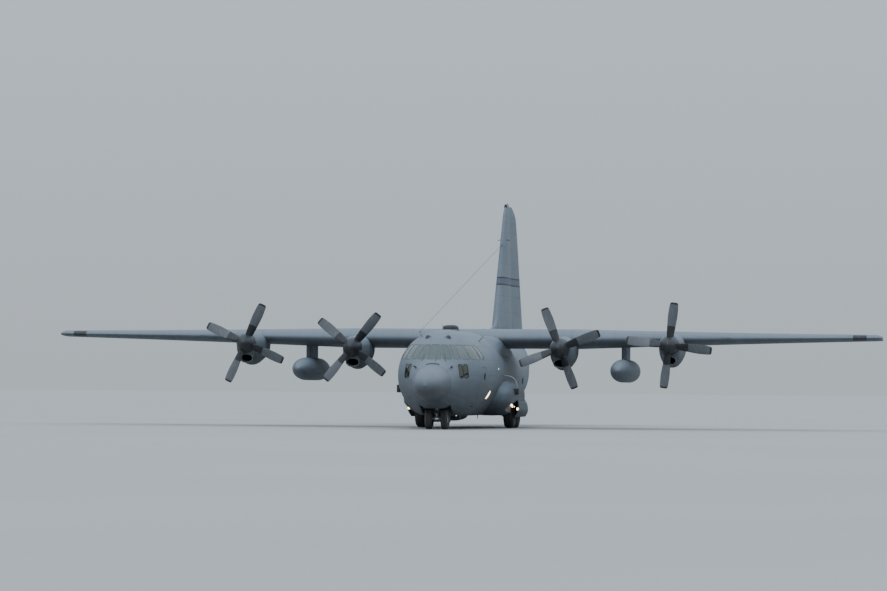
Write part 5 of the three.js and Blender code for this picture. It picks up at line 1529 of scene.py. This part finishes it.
def make_gear_details():
    """Collars, brakes, hoses and jacks on the fixed legs, and the nose leg's links and lamp."""
    x, radius = STRUT_X, MAIN_WHEEL["radius"]
    parts = []
    for y in MAIN_AXLES_Y:
        parts += [rod((x, y, 960), (x, y, 1010), 128, 32), rod((x, y, 1400), (x, y, 1450), 126, 32),
                  rod((x + 20, y, radius), (1925, y, radius), 176, 40, 160),
                  rod((x - 90, y, radius), (x - 40, y, radius), 118, 6),
                  pipe(arc_route((1690, y - 70, 1900), (1640, y - 120, 1300), (1850, y - 130, 820)), 13, 8),
                  pipe(arc_route((1690, y + 60, 1900), (1650, y + 150, 1250), (1850, y + 140, 800)), 11, 8)]
        parts += [rod((1850, y + 112 * c, radius + 112 * s), (1938, y + 112 * c, radius + 112 * s), 22, 12)
                  for c, s in circle(8)]
    bars = [rod((x - 105, y, 1350), (1640, y, 2080), 34, 20) for y in MAIN_AXLES_Y]
    bars += [rod((x, MAIN_AXLES_Y[0] + 90, 1150), (x, 13320, 1600), 30, 20),
             rod((x, MAIN_AXLES_Y[1] - 90, 1150), (x, 13500, 1600), 30, 20)]
    for side, label in SIDES:
        show(f"main_gear_fittings_{label}", turned_over(combined(parts), side), "dark")
        show(f"main_gear_struts_{label}", turned_over(combined(bars), side), "strut")
    y = NOSE_AXLE_Y
    collars = [rod((0, y, 966), (0, y, 1006), 124, 40), rod((0, y, 1220), (0, y, 1270), 122, 40)]
    jacks = [rod((x, y + 10, 1110), (x * 1.15, y + 210, 1130), 36, 20) for x in (-140, 140)]
    hoses = [pipe(arc_route((x, y - 90, 1540), (x * 1.9, y - 190, 1250), (x, y - 112, 1010), 12), 11, 8)
             for x in (-60, 60)]
    show("nose_leg_fittings", combined(collars + jacks + hoses), "dark")
    rams = [rod((x * 0.4, y - 60, 1300), (x, y - 420, 1560), 30, 20) for x in (-330, 330)]
    show("nose_leg_rams", combined(rams), "strut")
    links = [prism("x", [(y - 80, 925), (y - 265, 730), (y - 245, 705), (y - 80, 860)], -40, 40),
             prism("x", [(y - 262, 732), (y - 95, 490), (y - 80, 530), (y - 235, 740)], -30, 30),
             rod((-52, y - 254, 726), (52, y - 254, 726), 20, 16), rod((-80, y, 495), (80, y, 495), 118, 32)]
    show("torque_links", combined(links), "chrome", "nose_steering", "strut_metal")
    lamp("nose_lamp", (0, y - 190, 1110), 70, "lens", 80)


# What shows inside when the doors are open

def hold_rib(y):
    """A rib round the hold, left out where a wheel well or the wing is in its way."""
    deep, shallow = (body_ring(y, WALL + inset) for inset in (62, -12))
    front, back = WELL_BULGE["y"]
    low = WELL_BULGE["top"] + 40 if front < y + 60 and y - 60 < back else HOLD_FLOOR + 10
    high = WING_CARRY["bottom"] if WING_CARRY["y"][0] < y < WING_CARRY["y"][1] else FAR
    arcs = [[]]
    for i in range(-BODY_POINTS // 4, BODY_POINTS * 3 // 4 + 1):
        if low < deep[i % BODY_POINTS][2] < high:
            arcs[-1].append([(ring[i % BODY_POINTS][0], place, ring[i % BODY_POINTS][2]) for ring, place in
                             ((shallow, y - 28), (shallow, y + 28), (deep, y + 28), (deep, y - 28))])
        elif arcs[-1]:
            arcs.append([])
    return [loft(arc) for arc in arcs if len(arc) > 2]


def make_hold_details():
    show("hold_ribs", combined([rib for y in range(5900, 17000, 555) for rib in hold_rib(y)]), "primer")
    rails = [soft_box((x - 48, 5520, HOLD_FLOOR - 8), (x + 48, 17880, HOLD_FLOOR + 12), 4) for x in RAIL_X]
    show("floor_rails", combined(rails), "chrome")
    rings = [hoop([(x + 52 * c, y + 52 * s, HOLD_FLOOR + 6) for c, s in circle(20)], (0, 0, 1), 8, 6)
             for x in (-800, 0, 800) for y in range(5900, 17800, 600)]
    show("floor_rings", combined(rings), "dark", slot="floor_metal")

    start, end = Vector((0, RAMP["front_y"], HOLD_FLOOR)), Vector((0, *RAMP["top_end"]))
    along = (end - start).normalized()
    up = Vector((0, -along.z, along.y))

    def on_ramp(first, last, left, right, height):
        corners = ((first, -8), (last, -8), (last, height), (first, height))
        return prism("x", [(start + along * d + up * h).yz for d, h in corners], left, right)

    treads = [on_ramp(d, d + 34, -1360, 1360, 14) for d in range(260, 3000, 195)]
    show("ramp_treads", combined(treads), "dark", "ramp", "floor_metal")
    show("ramp_rails", combined([on_ramp(180, 3060, x - 42, x + 42, 18) for x in RAIL_X]), "chrome", "ramp")
    steps = []
    for z in (1330, 1680, 2030):
        inside = side_x(CREW_PORTHOLE[0], z) - WALL
        steps += [soft_box((inside - 120, 4660, z), (inside + 12, 5060, z + 26), 6),
                  *[rod((inside - 105, y, z + 8), (inside + 6, y, z - 95), 11, 12) for y in (4700, 5020)]]
    show("crew_door_steps", combined(steps), "dark", "crew_door", "interior")


# Camera, floor and light. The camera's place and lens come from fitting the photograph.

PHOTO = {"width": 887, "height": 591, "focal_pixels": 3762, "horizon_row": 387.5}
CAMERA = {"place": (26870, -169080, 1940), "yaw": 8.761, "roll": 0.45}
FLOOR_REACH = 600
# Suns: name, strength, size, tilt and turn in degrees
SUNS = (("key", 0.8, 40, 38, -28), ("fill", 0.3, 60, 60, 130))


def make_camera():
    data = bpy.data.cameras.new("camera")
    data.sensor_width = 36
    data.lens = data.sensor_width * PHOTO["focal_pixels"] / PHOTO["width"]
    data.clip_end = 2000
    camera = bpy.data.objects.new("camera", data)
    bpy.context.scene.collection.objects.link(camera)
    camera.location = at(*CAMERA["place"])
    pitch = math.atan((PHOTO["horizon_row"] - PHOTO["height"] / 2) / PHOTO["focal_pixels"])
    yaw, roll = (Matrix.Rotation(math.radians(CAMERA[turn]), 4, "Z") for turn in ("yaw", "roll"))
    camera.rotation_euler = (yaw @ Matrix.Rotation(math.pi / 2 + pitch, 4, "X") @ roll).to_euler()
    bpy.context.scene.camera = camera


def make_stage():
    g = Graph("pale_floor")
    color = g.over((0.31, 0.31, 0.30), (0.37, 0.37, 0.36), g.noise(0.12, 4))
    mesh = bpy.data.meshes.new("floor")
    corners = [(x * FLOOR_REACH, y * FLOOR_REACH, 0) for x, y in ((-1, -1), (1, -1), (1, 1), (-1, 1))]
    mesh.from_pydata(corners, [], [(0, 1, 2, 3)])
    mesh.materials.append(g.finish(color, 0.75, g.bump(g.noise(6, 5), 0.002)))
    floor = bpy.data.objects.new("floor", mesh)
    bpy.context.scene.collection.objects.link(floor)

    world = bpy.data.worlds.new("studio")
    world.use_nodes = True
    nodes, links = world.node_tree.nodes, world.node_tree.links
    split = nodes.new("ShaderNodeSeparateXYZ")
    links.new(nodes.new("ShaderNodeTexCoord").outputs["Generated"], split.inputs[0])
    sky = nodes.new("ShaderNodeMix")
    sky.data_type = "RGBA"
    sky.inputs[6].default_value = (0.50, 0.56, 0.61, 1)
    sky.inputs[7].default_value = (1.42, 1.67, 1.97, 1)
    links.new(split.outputs[2], sky.inputs[0])
    links.new(sky.outputs[2], nodes["Background"].inputs["Color"])
    bpy.context.scene.world = world
    for name, energy, size, tilt, turn in SUNS:
        light = bpy.data.lights.new(name, "SUN")
        light.energy = energy
        light.angle = math.radians(size)
        sun = bpy.data.objects.new(name, light)
        sun.rotation_euler = (math.radians(tilt), 0, math.radians(turn))
        bpy.context.scene.collection.objects.link(sun)


for make in (make_camera, make_stage, make_nose, make_centre, make_aft, make_wing, make_tail, make_sponsons):
    make()
for engine_name, engine_x, engine_hub, engine_angle in ENGINES:
    make_nacelle(engine_name, engine_x, engine_hub)
    make_propeller(engine_name, engine_x, engine_hub, engine_angle)
for make in (make_tanks, make_wheels, make_antennas, make_window_details, make_sensor_boxes, make_lamps,
             make_fin_details, make_wing_details):
    make()
for engine_name, engine_x, engine_hub, _ in ENGINES:
    make_nacelle_details(engine_name, engine_x, engine_hub)
for make in (make_gear_details, make_hold_details, make_tail_wicks, make_root_fairings):
    make()
